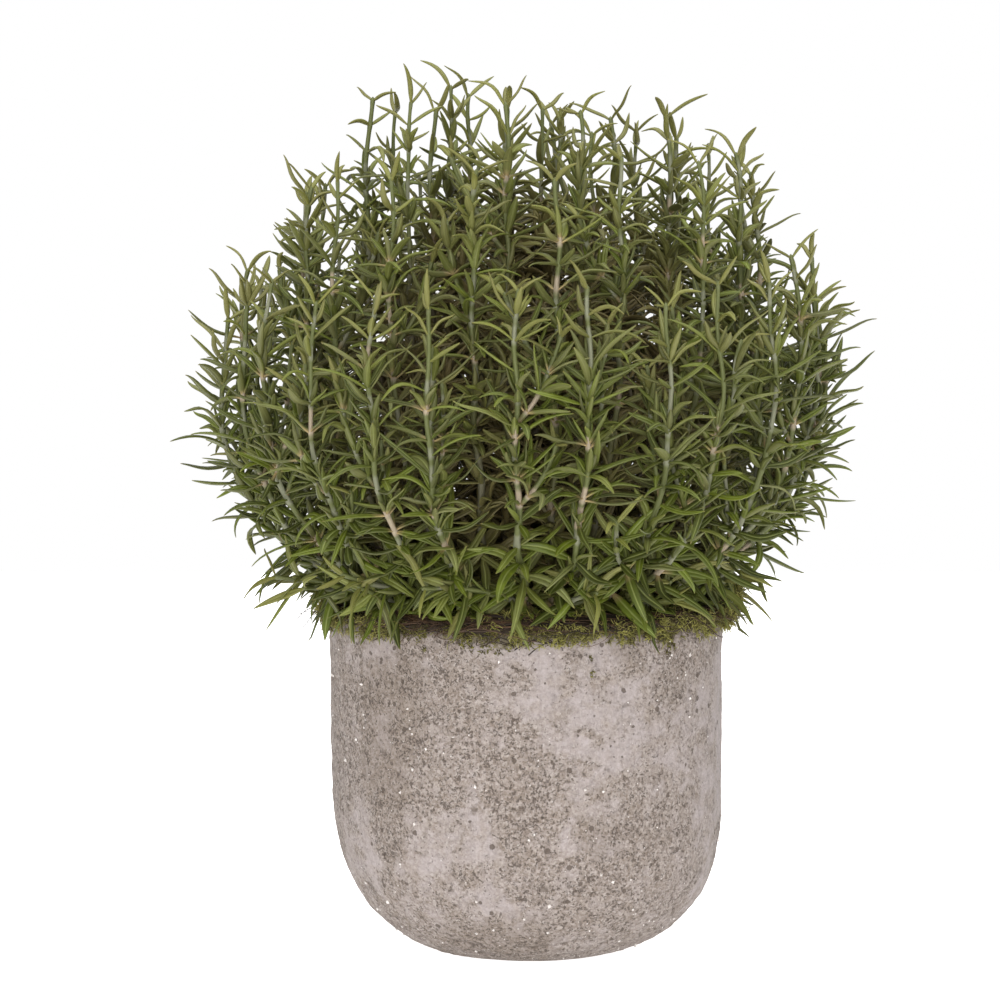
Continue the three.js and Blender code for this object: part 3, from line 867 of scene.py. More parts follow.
def fringePart():
    # short tufts that cling to the outer edge of the rim, thickest at the right of the front
    count = moss["fringe"]
    turn = rng.uniform(-180, 180, 6 * count)  # degrees from the front
    front = smooth(-16, -7, turn) * smooth(66, 54, turn)
    around = np.radians(turn - 90)
    places = ringed(70, around, 0)
    clumps = smooth(0.38, 0.62, noise(places, 9, 87))
    weight = 0.03 + front * (0.12 + clumps) + (1 - front) * clumps**2
    weight = weight * noise(places, 2.5, 88) ** 2
    around = rng.choice(around, count, replace=False, p=weight / weight.sum())
    height = pot["height"] + 1.6 - moss["fringeFall"] * rng.random(count) ** 1.7
    radius = pot["rimRadius"] + 0.4 + 1.3 * rng.random(count)
    starts = np.repeat(ringed(radius, around, height), moss["tuftFibres"], axis=0)
    outward = unit(starts * [1, 1, 0])
    starts = starts + 0.4 * rng.normal(size=starts.shape)
    directions = unit(0.7 * outward + [0, 0, -0.3] + 0.8 * rng.normal(size=starts.shape))
    lengths = within(moss["fringeLength"], rng.random(len(starts)) ** 1.7)
    lines = tuftLines(starts, directions, lengths)
    return tuftFibres(offWall(lines), np.repeat(rng.random(count), moss["tuftFibres"]))


def offWall(lines):
    # moves what would sink into the wall of the pot out to its surface
    far = np.linalg.norm(lines[..., :2], axis=-1)
    beside = lines[..., 2] < pot["height"] + 0.4
    lines[..., :2] *= np.where(beside, np.maximum(far, pot["rimRadius"] + 0.2) / far, 1)[..., None]
    return lines


def tuftLines(starts, directions, lengths):
    return curls(starts, directions, lengths, moss["curl"] * rng.random(len(starts)), 4, moss["sag"])


def tuftFibres(lines, tones):
    s = np.linspace(0, 1, lines.shape[1])
    radii = moss["fibreRadius"] * (1 - 0.5 * s)[None] * (0.8 + 0.5 * rng.random(len(lines)))[:, None]
    values = {"tone": tones[:, None, None], "lengthwise": s[None, :, None]}
    return ropes(lines, radii, 3, values, (0, 1))


def wallCurlPart():
    # dark wiry rootlets that lie on the wall just below the rim
    count = moss["wallCurls"]
    front = -90 + 26 * (rng.random(count) - 0.75)
    atFront = np.arange(count) < moss["wallCurlFront"] * count
    turn = np.where(atFront, front, 360 * rng.random(count))
    reach = within(moss["wallCurlReach"], rng.random((count, 1)))
    s = np.linspace(0, 1, 20)[None]
    phase = 2 * math.pi * rng.random((count, 3))
    loops = (1.2 + 1.5 * rng.random((count, 1))) * math.pi * s
    loop = 0.315 * reach * np.sin(loops + phase[:, :1])
    around = np.radians(turn)[:, None] + (reach * (s - 0.5) + loop) / pot["rimRadius"]
    drop = 0.5 + 5 * rng.random((count, 1)) ** 1.3
    drop = drop + (0.5 + 1.6 * rng.random((count, 1))) * np.sin(5 * s + phase[:, 1:2])
    radius = pot["rimRadius"] + 0.35 + 0.5 * (1 + np.sin(4 * s + phase[:, 2:]))
    lines = ringed(radius, around, pot["height"] - drop)
    radii = moss["rootletRadius"] * (1 + 0.6 * rng.random((count, 1))) * (1 - 0.5 * s)
    return ropes(lines, radii, 4, {"tone": 0.2 * rng.random(count)[:, None, None]}, (0.72, 0.8))


def rootletPart():
    # wiry rootlets that curl out over the rim, most of them at its left and right
    count = moss["rootlets"]
    sides = np.where(np.arange(count) % 2 == 0, 0, math.pi) + 0.22 * rng.normal(size=count)
    aside = np.arange(count) < moss["rootletsAside"] * count
    turn = np.where(aside, sides, 2 * math.pi * rng.random(count))[:, None]
    reach = within(moss["rootletLength"], rng.random((count, 1)) ** 2)
    s = np.linspace(0, 1, 22)[None]
    phase = 2 * math.pi * rng.random((count, 4))
    wobble = (0.3 + 1.2 * s) * np.sin(9 * s + phase[:, :1]) * rng.random((count, 1)) * 1.3
    radius = moss["rootletFrom"] + 2.5 * rng.random((count, 1)) + reach * s
    radius = radius + 0.8 * np.sin(11 * s + phase[:, 1:2]) * s
    around = turn + (wobble + reach * s * (rng.random((count, 1)) - 0.5) * 1.2) / pot["rimRadius"]
    fall = reach * (0.1 + 0.5 * rng.random((count, 1)))
    height = pot["height"] + 2.6 + 1.4 * np.sin(3 * s + phase[:, 2:3]) - fall * s**1.6
    height = height + 0.9 * s * np.sin(12 * s + phase[:, 3:])
    clear = pot["height"] + np.interp(radius, *moss["rootletFloor"])
    lines = ringed(radius, around, np.maximum(height, clear))
    radii = moss["rootletRadius"] * (0.7 + 0.6 * rng.random((count, 1))) * (1 - 0.55 * s)
    return ropes(lines, radii, 4, {"tone": 0.6 * rng.random(count)[:, None, None]}, (0.8, 1))


def makeMoss():
    around = moss["around"]
    turns = np.arange(around) * 2 * math.pi / around
    rim = lathe(np.array([[pot["rimRadius"], 0]]), around)[0]
    ragged = np.clip(2.2 * roughNoise(rim, 5, 81) - 0.6, 0, 1)
    columns = [evenly(mossProfile(*both), moss["step"]) for both in zip(mossSwell(turns), ragged)]
    rowCount = max(len(column) for column in columns)
    at = np.linspace(0, 1, rowCount)
    profile = [[np.interp(at, np.linspace(0, 1, len(c)), c[:, k]) for c in columns] for k in (0, 1)]
    profile = np.transpose(profile, (2, 1, 0))  # rows by columns by radius and height
    points = ringed(profile[..., 0], turns, profile[..., 1])
    sideways = np.roll(points, -1, axis=1) - np.roll(points, 1, axis=1)
    normals = unit(np.cross(sideways, np.gradient(points, axis=0)))
    rough = roughNoise(points, moss["lumpSize"], 61)
    outside, above = profile[..., 0] - pot["rimRadius"], profile[..., 1] - pot["height"]
    seen = smooth(-12, -6, outside) * smooth(-8, -5, above)
    onPot = (np.abs(outside) < 0.5) & (above < 0)
    lift = np.where(onPot, 0, (rough - 0.42) * moss["lumpDepth"] * seen)
    lift[0] = lift[-1] = 0
    surface = points + normals * lift[..., None]
    tone = 0.45 * roughNoise(points, 5, 71) - 0.3
    values = {"tone": tone, "lengthwise": 0 * rough}
    bed = addMesh("moss_bed", [gridPart(surface, values, 0, 1, False, False)], [driedMoss()])
    fuse(bed)

    # tufts of short curly fibres over the outside and top, denser where the moss swells out
    weight = seen * (outside > -9) * (0.35 + mossSwell(turns)[None]) * ~onPot
    chosen = rng.choice(weight.size, moss["tufts"], p=(weight / weight.sum()).ravel())
    repeat = np.repeat(chosen, moss["tuftFibres"])
    starts = surface.reshape(-1, 3)[repeat] + rng.normal(size=(len(repeat), 3)) * 0.5
    directions = unit(normals.reshape(-1, 3)[repeat] + 0.9 * rng.normal(size=(len(repeat), 3)))
    lengths = within(moss["fibreLength"], rng.random(len(repeat)) ** 1.7)
    lines = tuftLines(starts, directions, lengths)
    tones = np.repeat(rng.random(moss["tufts"]) ** 1.2, moss["tuftFibres"])
    tufts = addMesh("moss_tufts", [tuftFibres(lines, tones)], [driedMoss()])
    cushions = addMesh("moss_cushions", [cushionPart()], [driedMoss()])
    flecks = addMesh("moss_flecks", [fleckPart()], [driedMoss()])
    fringe = addMesh("moss_fringe", [fringePart()], [driedMoss()])
    strands = joined([coirPart(), wallCurlPart(), rootletPart()])
    coir = addMesh("coir_strands", [strands], [coirFibre()])
    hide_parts("moss_collar")
    for piece in (bed, tufts, cushions, flecks, fringe, coir):
        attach(piece, "root")
        print(piece.name, len(piece.data.polygons), "faces")


def coirPart():
    # coir strands wind along the rim, and a few stand off it
    count = moss["coirCount"]
    lengths = within(moss["coirLength"], rng.random(count) ** 2)
    s = np.linspace(0, 1, 20)[None]
    start = rng.random(count)[:, None] * 2 * math.pi
    middle, spread, share = moss["skein"]
    inSkein = rng.random(count)[:, None] < share
    start = np.where(inSkein, math.radians(middle) + spread * rng.normal(size=(count, 1)), start)
    way = np.where(rng.random(count) < 0.5, -1, 1)[:, None]
    phase = rng.random((count, 4)) * 2 * math.pi
    stray = (rng.random(count) < moss["strayShare"])[:, None] * smooth(0.3, 1, s)
    stray = stray * within(moss["strayReach"], rng.random(count) ** 2)[:, None]
    base = moss["coirFrom"] + moss["coirBand"] * rng.random(count)[:, None]
    radius = base + 1.3 * np.sin(4 * s + phase[:, :1]) + 0.8 * np.sin(9 * s + phase[:, 1:2]) + stray
    turn = start + way * lengths[:, None] * s / radius + 0.02 * np.sin(12 * s + phase[:, 2:3])
    swell = mossSwell(turn)
    crown = pot["height"] + np.interp(radius, *moss["coirCrown"])
    height = crown + 1.2 * swell + 0.9 * np.sin(7 * s + phase[:, 3:])
    height = height + 1.6 * stray / moss["strayReach"][1] * np.sin(11 * s + phase[:, 1:2])
    lines = ringed(radius, turn, height)
    radii = within(moss["coirRadius"], rng.random(count) ** 2)[:, None] * (1 - 0.5 * s)
    return ropes(lines, radii, 4, {"tone": rng.random(count)[:, None, None]}, (0, 0.72))


def pottingSoil():
    # Peat-based potting soil: dark brown and crumbly, with paler specks of bark
    return buildMaterial("pottingSoilCrumbled", 0.95, 1.4, (), {"crumb": ("place", 1.8, 5)}, {
        "surface": ("ValToRGB", {"stops": {0.35: "#1c140c", 0.72: "#57422b"}}, {0: "crumb"}),
        "bump": ("Bump", None, {"Height": "crumb", "Strength": 0.8, "Distance": 0.0008})})


def makeSoil():
    inner = pot["rimRadius"] - pot["wall"] - moss["gap"]
    bottom = roundBottom(pot["footRadius"] - 4, inner, pot["floor"] + moss["gap"],
                         pot["roundHeight"] - pot["floor"], 12)
    radii = np.arange(inner, 1.4, -0.9)
    top = np.stack([radii, [soilHeight(radius) for radius in radii]], axis=1)
    profile = np.concatenate([[[2, pot["floor"] + moss["gap"]]], bottom, top])
    points = lathe(profile, 220)
    isTop = (np.arange(len(profile)) > len(bottom) + 1)[:, None]
    isTop = isTop * smooth(inner, inner - 4, profile[:, :1])
    crumbs = roughNoise(points, soil["crumbSize"], 91) - 0.5
    points[..., 2] += isTop * soil["crumbHeight"] * crumbs
    piece = addMesh("soil_crumbled", [gridPart(points, {}, 0, 1, True, True)], [pottingSoil()])
    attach(piece, "root")
    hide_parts("soil")
    print("soil:", len(piece.data.polygons), "faces")


# Rosemary

bush = {
    "rings": [(93, 13), (71, 9), (49, 5), (28, 3), (8, 1)],  # reach of each ring and its sprays
    "footShare": 0.46,  # how far out a spray stands in the soil, as a share of its reach
    "forkRise": 7,
    "startRise": 12,
    "startSpread": 0.05,
    "bulge": 1.17,
    "bow": (175, 126),  # height of the bend in the middle and at the edge
    "bowPower": 1.5,
    "domeFoot": 153,
    "domeRise": 113,
    "domeRadius": 104,
    "domePower": 2.6,
    "reachScatter": 5,
    "turnScatter": 0.35,
    "tipScatter": 10,
    "tipRises": (3, 6, 11, 5, 0),
    "riseScatter": 7,
    "tipTilts": (0, 4, -5, -3, 0),  # how much higher the shoots at the right are than the others
    "sideShoots": 2,
    "sideFrom": (0.26, 0.74),  # where they part from a main shoot, as shares of its length
    "sideLength": (22, 48),
    "sideTurns": (15, -195),  # to a side or inwards
    "sideScale": 0.8,
    "sideReach": 90,  # their tips stay this near the middle
    "skirtFrom": (5, 14),
    "skirtLength": (23, 36),
    "skirtAside": (0.15, 1.2),
    "skirtSlant": 10,  # how much longer they are at the left, and shorter at the right
    "skirtRise": 0.6,
    "skirtScale": 0.9,
    "heartHeight": 167,
    "heartReach": (96, 95, 108),  # sideways, down and up from the heart of the ball
}
stem = {
    "footRadius": 1.25,
    "tipRadius": 0.66,
    "ringStep": 1.1,
    "nodeSwell": 0.22,
    "sway": 0.6,
    "trunkRadius": 2,
    "barkShare": 0.2,
    "bloomShare": 0.55,
}

# Leaves stand in opposite pairs, and each pair is turned against the one below it
leaf = {
    "firstAt": 2,
    "shadedBare": 5,
    "pitches": (6.8, 8),  # on the shoot and at its tip
    "shadedPitch": 1.2,
    "pitchScatter": 0.7,
    "lastAt": 0.8,
    "tipFree": 4.5,
    "lengths": (18.5, 14.5),  # outside and inside
    "lowLength": 20.5,
    "tipLength": 12.5,
    "lengthScatter": 0.68,
    "tipReach": 36,
    "width": 2.2,
    "broadWidth": 2.8,
    "lowWidth": 3.4,
    "cupLength": 10.5,
    "thickness": 1.1,
    "turn": 90,
    "pairScatter": 40,
    "turnScatter": 66,
    "driftScatter": 70,
    "widthScatter": 0.36,
    "wave": 14,
    "cups": (0.12, 0.5),  # how hollow a leaf is, and one of a side bud
    "crossShares": (0.8, 0.1),
    "cupShare": 0.55,
    "lowHeight": 146,
    "lowFade": 40,
    "lowDroop": 0.36,
    # radii, and how far above the rim leaves rest there
    "floor": ([0, 44, 50, 62, 65.5, 68.5, 69.5], [-4, -4, 2, 4.5, 3, -5, -45]),
    # up to which draw, and from which to which angles a leaf leans out and then bends: straight,
    # up and over, up again at its end, over and down
    "manners": [(0.34, (46, 74), (-8, 10)), (0.64, (40, 62), (28, 62)), (0.8, (66, 84), (-16, -42)),
                (1, (58, 84), (44, 88))],
    "lastManner": (1, (24, 58), (6, 52)),
}


def bezier(points, t):
    s = 1 - t
    weights = np.stack([s**3, 3 * s * s * t, 3 * s * t * t, t**3], axis=-1)
    return weights @ points


def bezierSlope(points, t):
    s = 1 - t
    weights = np.stack([-3 * s * s, 3 * s * s - 6 * s * t, 6 * s * t - 3 * t * t, 3 * t * t], axis=-1)
    return weights @ points


def planSprays():
    sprays = []
    edge = bush["rings"][0][0]
    for ringNumber, (ringReach, count) in enumerate(bush["rings"]):
        share = math.pi / count
        start = 2 * math.pi * draw(ringNumber, 1)
        footRadius = bush["footShare"] * ringReach if count > 1 else 0
        for n in range(count):
            sprayTurn = start + (2 * n + 1) * share
            foot = polar(footRadius, sprayTurn, soilHeight(footRadius))
            fork = foot[2] + bush["forkRise"]
            shoots = []
            for side in (-0.5, 0.5):
                number = 2 * len(sprays) + (1 if side > 0 else 0)
                turn = sprayTurn + side * share + bush["turnScatter"] * share * scatter(number, 2)
                reach = ringReach + bush["reachScatter"] * scatter(number, 3)
                dome = math.sqrt(1 - (reach / bush["domeRadius"]) ** bush["domePower"])
                tip = bush["domeFoot"] + bush["domeRise"] * dome
                tip += bush["tipScatter"] * scatter(number, 4)
                rise = bush["tipRises"][ringNumber] + bush["tipTilts"][ringNumber] * math.cos(turn)
                bow = within(bush["bow"], (ringReach / edge) ** bush["bowPower"])
                curve = np.array([
                    polar(footRadius, sprayTurn, fork - 1),
                    polar(footRadius + bush["startSpread"] * reach, turn, fork + bush["startRise"]),
                    polar(bush["bulge"] * reach, turn, bow),
                    polar(reach, turn, tip + rise + bush["riseScatter"] * scatter(number, 8)),
                ])
                shoots.append(measured(number, turn, curve, 201, 1 - ringReach / edge, 1))
            skirt = [planSkirtShoot(shoot) for shoot in shoots] if ringNumber == 0 else []
            shoots += skirt + [side for shoot in shoots for side in planSideShoots(shoot)]
            sprays.append({"foot": foot, "shoots": shoots})
    return sprays


def frameAt(shoot, at):
    # the middle of the stem and three directions there, at distances from the fork
    t = np.interp(at, shoot["travelled"], shoot["t"])
    middle = bezier(shoot["curve"], t)
    along = unit(bezierSlope(shoot["curve"], t))
    side = np.array([math.sin(shoot["turn"]), -math.cos(shoot["turn"]), 0])
    side = unit(side - along * (along @ side)[:, None])
    out = np.cross(along, side)
    # stems wander a little from node to node
    sway = stem["sway"] * smooth(0, 25, at)
    middle = middle + side * (sway * np.sin(at / 5.3 + 6.3 * draw(shoot["number"], 7)))[:, None]
    middle = middle + out * (sway * np.sin(at / 7.1 + 6.3 * draw(shoot["number"], 9)))[:, None]
    return middle, along, side, out


def planSideShoots(main):
    # thinner shoots that part from a main one, bend away and then grow up beside it
    shoots = []
    for k in range(bush["sideShoots"]):
        number = 1000 + 10 * main["number"] + k
        at = main["length"] * within(bush["sideFrom"], (k + draw(number, 1)) / bush["sideShoots"])
        length = min(within(bush["sideLength"], draw(number, 2)), 0.8 * (main["length"] - at))
        root, along, side, out = (direction[0] for direction in frameAt(main, np.array([at])))
        turn = math.radians(within(bush["sideTurns"], draw(number, 3)))
        away = side * math.cos(turn) + out * math.sin(turn)
        start = unit(along + 0.95 * away)
        end = unit(0.6 * along + 0.3 * away + [0, 0, 0.6])
        tip = root + length * (0.5 * start + 0.48 * end)
        tip[:2] *= min(1, bush["sideReach"] / np.linalg.norm(tip[:2]))
        shoots.append(shootBetween(main, number, root, start, tip, end, length, bush["sideScale"]))
    return shoots


def planSkirtShoot(main):
    # a short low shoot that leans out over the rim and to one side, furthest at the left
    number = 5000 + main["number"]
    at = within(bush["skirtFrom"], draw(number, 1))
    root, along, _, _ = (direction[0] for direction in frameAt(main, np.array([at])))
    sideways = within(bush["skirtAside"], draw(number, 2)) * (1 if main["number"] % 2 else -1)
    turn = math.atan2(root[1], root[0]) + sideways
    outward = polar(1, turn, 0)
    slant = bush["skirtSlant"] * math.cos(turn) * abs(math.cos(turn))
    length = within(bush["skirtLength"], draw(number, 3)) - slant
    start = unit(along + 1.3 * outward)
    end = unit(outward + [0, 0, bush["skirtRise"] * draw(number, 4)])
    tip = root + length * (0.45 * start + 0.5 * end)
    return shootBetween(main, number, root, start, tip, end, length, bush["skirtScale"])


def shootBetween(main, number, root, start, tip, end, length, scale):
    curve = np.array([root, root + 0.35 * length * start, tip - 0.35 * length * end, tip])
    turn = math.atan2(tip[1] - root[1], tip[0] - root[0])
    return measured(number, turn, curve, 81, main["shade"], scale)


def measured(number, turn, curve, samples, shade, scale):
    # a shoot with the distance travelled along its curve
    t = np.linspace(0, 1, samples)
    steps = np.linalg.norm(np.diff(bezier(curve, t), axis=0), axis=1)
    travelled = np.concatenate([[0], np.cumsum(steps)])
    return {"number": number, "turn": turn, "curve": curve, "t": t, "travelled": travelled,
            "length": travelled[-1], "shade": shade, "scale": scale}


def growLeaves(shoot):
    # one row for each leaf, with the values that leafPart takes from it, in the same order
    rows = []
    number, length = shoot["number"], shoot["length"]
    tipReach = min(leaf["tipReach"], 0.45 * length)
    bare = leaf["shadedBare"] * shoot["shade"] + leaf["pitches"][0] * draw(number, 5)
    at = leaf["firstAt"] + bare * shoot["scale"] ** 2
    places = []
    while at < length - leaf["lastAt"] - leaf["tipFree"]:
        places.append(at)
        near = smooth(length - tipReach, length, at)
        pitch = within(leaf["pitches"], near) - leaf["shadedPitch"] * shoot["shade"]
        at += pitch * (1 + leaf["pitchScatter"] * scatter(number, 10 + len(places)))
    places.append(length - leaf["lastAt"])
    nodes = frameAt(shoot, np.array(places))[0]
    for whorl, (at, height, deep) in enumerate(zip(places, nodes[:, 2], insideShadeShare(nodes))):
        seed = 100 * number + whorl
        last = whorl == len(places) - 1
        low = float(np.clip((leaf["lowHeight"] - height) / leaf["lowFade"], 0, 1))
        nearTip = float(smooth(length - tipReach, length, at))
        size = within(leaf["lengths"], min(1, 2 * shoot["shade"]))
        size += (leaf["tipLength"] - size) * nearTip
        size += (leaf["lowLength"] - size) * low
        size *= 0.4 + 0.6 * shoot["scale"]
        bark = 1.0 if draw(number, 300 + whorl) < stem["barkShare"] and nearTip < 0.5 else 0.0
        base = 45 + leaf["turn"] * whorl + leaf["pairScatter"] * scatter(seed, 8)
        pairs = 1 if last or draw(seed, 9) > within(leaf["crossShares"], nearTip) else 2
        # old leaves stay on inside
        pairs += 1 if deep > 0.35 and nearTip < 0.5 else 0
        pairs += 1 if deep > 0.7 and nearTip < 0.2 else 0
        for n in range(2 * pairs):
            manner = next(m for m in leaf["manners"] if draw(seed, 60 + n) < m[0])
            _, leans, bends = leaf["lastManner"] if last else manner
            lean, bend = within(leans, draw(seed, 30 + n)), within(bends, draw(seed, 35 + n))
            if not last:
                lean, bend = lean - 14 * nearTip, bend * (1 - 0.35 * nearTip)
            lean, bend = lean + low * (4 + 30 * draw(seed, 38 + n)), bend * (1 - 0.6 * low)
            crossed = n > 1
            width = leaf["broadWidth"] if crossed else leaf["width"]
            width += (leaf["lowWidth"] - width) * low
            rows.append([
                at + 0.5 * crossed,
                base + 90 * (n // 2) + 180 * (n % 2) + leaf["turnScatter"] * scatter(seed, 20 + n),
                lean, bend, leaf["driftScatter"] * scatter(seed, 45 + n),
                size * (0.84 if crossed else 1) * (1 + leaf["lengthScatter"] * scatter(seed, 40 + n)),
                width * (1 - 0.2 * nearTip) * (1 + leaf["widthScatter"] * scatter(seed, 80 + n)),
                leaf["cups"][0], nearTip, bark,
                draw(seed, 90 + n), scatter(seed, 95 + n),
                leaf["lowDroop"] * low * draw(seed, 98 + n) ** 1.5, low,
            ])
        if not last and draw(seed, 210) < leaf["cupShare"] * (1 - 0.7 * nearTip):
            # short hollow leaves of a side bud, close against the stem
            for n in range(2 + int(3 * draw(seed, 215) * (1 - 0.5 * nearTip))):
                rows.append([
                    at + 0.9, base + 45 + 90 * n + 50 * scatter(seed, 220 + n),
                    12 + 28 * draw(seed, 230 + n), -14 + 34 * draw(seed, 235 + n), 0,
                    leaf["cupLength"] * (1 - 0.2 * nearTip) * (1 + 0.7 * scatter(seed, 240 + n)),
                    leaf["broadWidth"] * (0.85 + 0.3 * scatter(seed, 280 + n)),
                    leaf["cups"][1], nearTip, bark, draw(seed, 290 + n), scatter(seed, 295 + n), 0, low,
                ])
    return np.array(rows), np.array(places)


leafRings = np.array([0, 0.06, 0.14, 0.24, 0.36, 0.48, 0.6, 0.72, 0.83, 0.92, 0.975])
# across and up, as shares of half the width and of the thickness: rolled margins, a groove on top
# and a midrib below
leafSection = np.array([
    [-1, -0.2], [-0.7, 0.25], [-0.16, 0.25], [0, 0.12], [0.16, 0.25], [0.7, 0.25], [1, -0.2],
    [0.62, -0.46], [0, -0.34], [-0.62, -0.46],
])


def insideShadeShare(points):
    # 0 at the outside of the ball, 1 well inside, where colour is darkened as painted shade and browned
    # as old leaves
    sideways, down, up = bush["heartReach"]
    height = points[..., 2] - bush["heartHeight"]
    height = height / np.where(height > 0, up, down)
    far = np.hypot(np.linalg.norm(points[..., :2], axis=-1) / sideways, height)
    return 1 - smooth(0.5, 0.88, far)


def clearOfRim(points):
    # leaves rest on the moss and hang over the rim instead of cutting through them
    radius = np.linalg.norm(points[..., :2], axis=-1)
    ground = np.interp(radius, *leaf["floor"])
    lifted = points.copy()
    lifted[..., 2] = np.maximum(points[..., 2], pot["height"] + ground)
    return lifted


def leafPart(rows, shoot, band):
    at, turn, lean, bend, drift, length, width, cup, nearTip, bark, tone, twist, droop, low = rows.T
    root, along, side, out = frameAt(shoot, at)
    s = leafRings[None]
    azimuth = np.radians(turn[:, None] + drift[:, None] * s)[..., None]
    wave = leaf["wave"] * (twist - np.round(2 * tone - 1))[:, None] * np.sin(2 * math.pi * s)
    tilt = np.radians(lean[:, None] + bend[:, None] * s**1.4 + wave)[..., None]
    away = side[:, None] * np.cos(azimuth) + out[:, None] * np.sin(azimuth)
    ahead = along[:, None] * np.cos(tilt) + away * np.sin(tilt)
    ahead[..., 2] -= 2 * droop[:, None] * s
    ahead = unit(ahead)
    steps = np.diff(leafRings, prepend=0)[None, :, None] * length[:, None, None]
    between = np.concatenate([ahead[:, :1], 0.5 * (ahead[:, 1:] + ahead[:, :-1])], axis=1)
    middle = clearOfRim(root[:, None] + np.cumsum(steps * between, axis=1))
    across = unit(np.cross(along[:, None], away))
    upward = unit(np.cross(ahead, across))
    roll = (twist[:, None] * (0.6 + 0.9 * s))[..., None]
    across, upward = (across * np.cos(roll) + upward * np.sin(roll),
                      upward * np.cos(roll) - across * np.sin(roll))
    rise = 0.36 + 0.64 * smooth(0, 0.3, leafRings)
    # most leaves keep their width until near the tip, and the broad low ones taper to a point
    taper = np.clip((leafRings - 0.4) / 0.6, 0, 1)
    fall = np.stack([(1 - taper**2.3) ** 0.7, (1 - taper**1.5) ** 0.85])
    fall = (fall[0] + (fall[1] - fall[0]) * (0.25 + 0.75 * low)[:, None])[..., None, None]
    profile = rise[None, :, None, None] * fall
    half = 0.5 * width[:, None, None, None] * profile
    thick = leaf["thickness"] * (0.4 + 0.6 * profile) * (0.5 + 0.5 * fall)
    sectionX, sectionY = leafSection[:, 0, None], leafSection[:, 1, None]
    high = thick * sectionY + cup[:, None, None, None] * half * sectionX**2
    rings = middle[:, :, None] + across[:, :, None] * half * sectionX + upward[:, :, None] * high
    tips = middle[:, -1] + ahead[:, -1] * 0.025 * length[:, None]
    under = (leafSection[:, 1] < -0.3) * (0.25 + 0.6 * np.abs(2 * twist))[:, None, None]
    values = {
        "tone": tone[:, None, None],
        "young": nearTip[:, None, None],
        "lengthwise": leafRings[None, :, None],
        "crosswise": np.abs(leafSection[:, 0])[None, None],
        "under": under,
        "bark": bark[:, None, None] * (1 - smooth(0.03, 0.26, leafRings))[None, :, None],
        # how deep in the ball: painted shade and the brown of old leaves there
        "inside": insideShadeShare(rings),
        "lush": low[:, None, None],
    }
    return tubes(rings, middle[:, 0], tips, values, band)


def stemPart(shoot, places, band):
    at = np.linspace(0, shoot["length"], max(24, int(shoot["length"] / stem["ringStep"])))
    middle, along, side, out = frameAt(shoot, at)
    share = at / shoot["length"]
    near = np.min(np.abs(at[:, None] - places[None]), axis=1)
    foot = stem["footRadius"] * shoot["scale"] ** 2
    radius = foot + (stem["tipRadius"] - foot) * share
    radius = radius * (1 + stem["nodeSwell"] * np.exp(-(near / 1.2) ** 2))
    corner = np.arange(8) * math.pi / 4
    square = np.where(np.arange(8) % 2 == 0, 1.0, 0.8)  # corners of the square stem stand out
    x = (np.cos(corner) * square)[None, :, None] * radius[:, None, None]
    y = (np.sin(corner) * square)[None, :, None] * radius[:, None, None]
    rings = middle[:, None] + side[:, None] * x + out[:, None] * y
    bark, bloom = np.zeros(len(at)), np.zeros(len(at))
    for whorl, place in enumerate(places):
        nextPlace = places[min(whorl + 1, len(places) - 1)]
        reach = (nextPlace - place) * (0.45 + 0.55 * draw(shoot["number"], 400 + whorl))
        patch = smooth(place - 1, place - 0.3, at) * smooth(place + reach, place + reach - 1.2, at)
        barky = place < shoot["length"] - 0.5 * leaf["tipReach"]
        if barky and draw(shoot["number"], 300 + whorl) < stem["barkShare"]:
            bark = np.maximum(bark, patch)
        elif draw(shoot["number"], 500 + whorl) < stem["bloomShare"]:
            bloom = np.maximum(bloom, patch)
    values = {
        "tone": np.full((1, 1, 1), draw(shoot["number"], 6)),
        "young": bloom[None, :, None],
        "lengthwise": share[None, :, None],
        "bark": bark[None, :, None],
        # how deep in the ball: painted shade there
        "inside": insideShadeShare(rings)[None],
    }
    return tubes(rings[None], middle[:1], middle[-1:] + along[-1:] * 0.8, values, band)


def trunkPart(foot, band):
    low = foot[2] - soil["holeDepth"] + 0.3
    high = foot[2] + bush["forkRise"] + 0.6
    heights = np.linspace(low, high, 12)
    corner = np.arange(8) * math.pi / 4
    radius = stem["trunkRadius"] * (1 - 0.08 * (heights - low) / (high - low))
    radius = radius * (1 - 0.05 * np.cos(heights * 2.1))
    rings = np.stack([
        foot[0] + np.cos(corner)[None] * radius[:, None],
        foot[1] + np.sin(corner)[None] * radius[:, None],
        np.broadcast_to(heights[:, None], (12, 8)),
    ], axis=-1)
    middle = np.array([[foot[0], foot[1], low], [foot[0], foot[1], high]])
    values = {"bark": np.ones((1, 1, 1)), "tone": np.full((1, 1, 1), 0.5)}
    return tubes(rings[None], middle[:1], middle[1:] + [[0, 0, 0.4]], values, band)


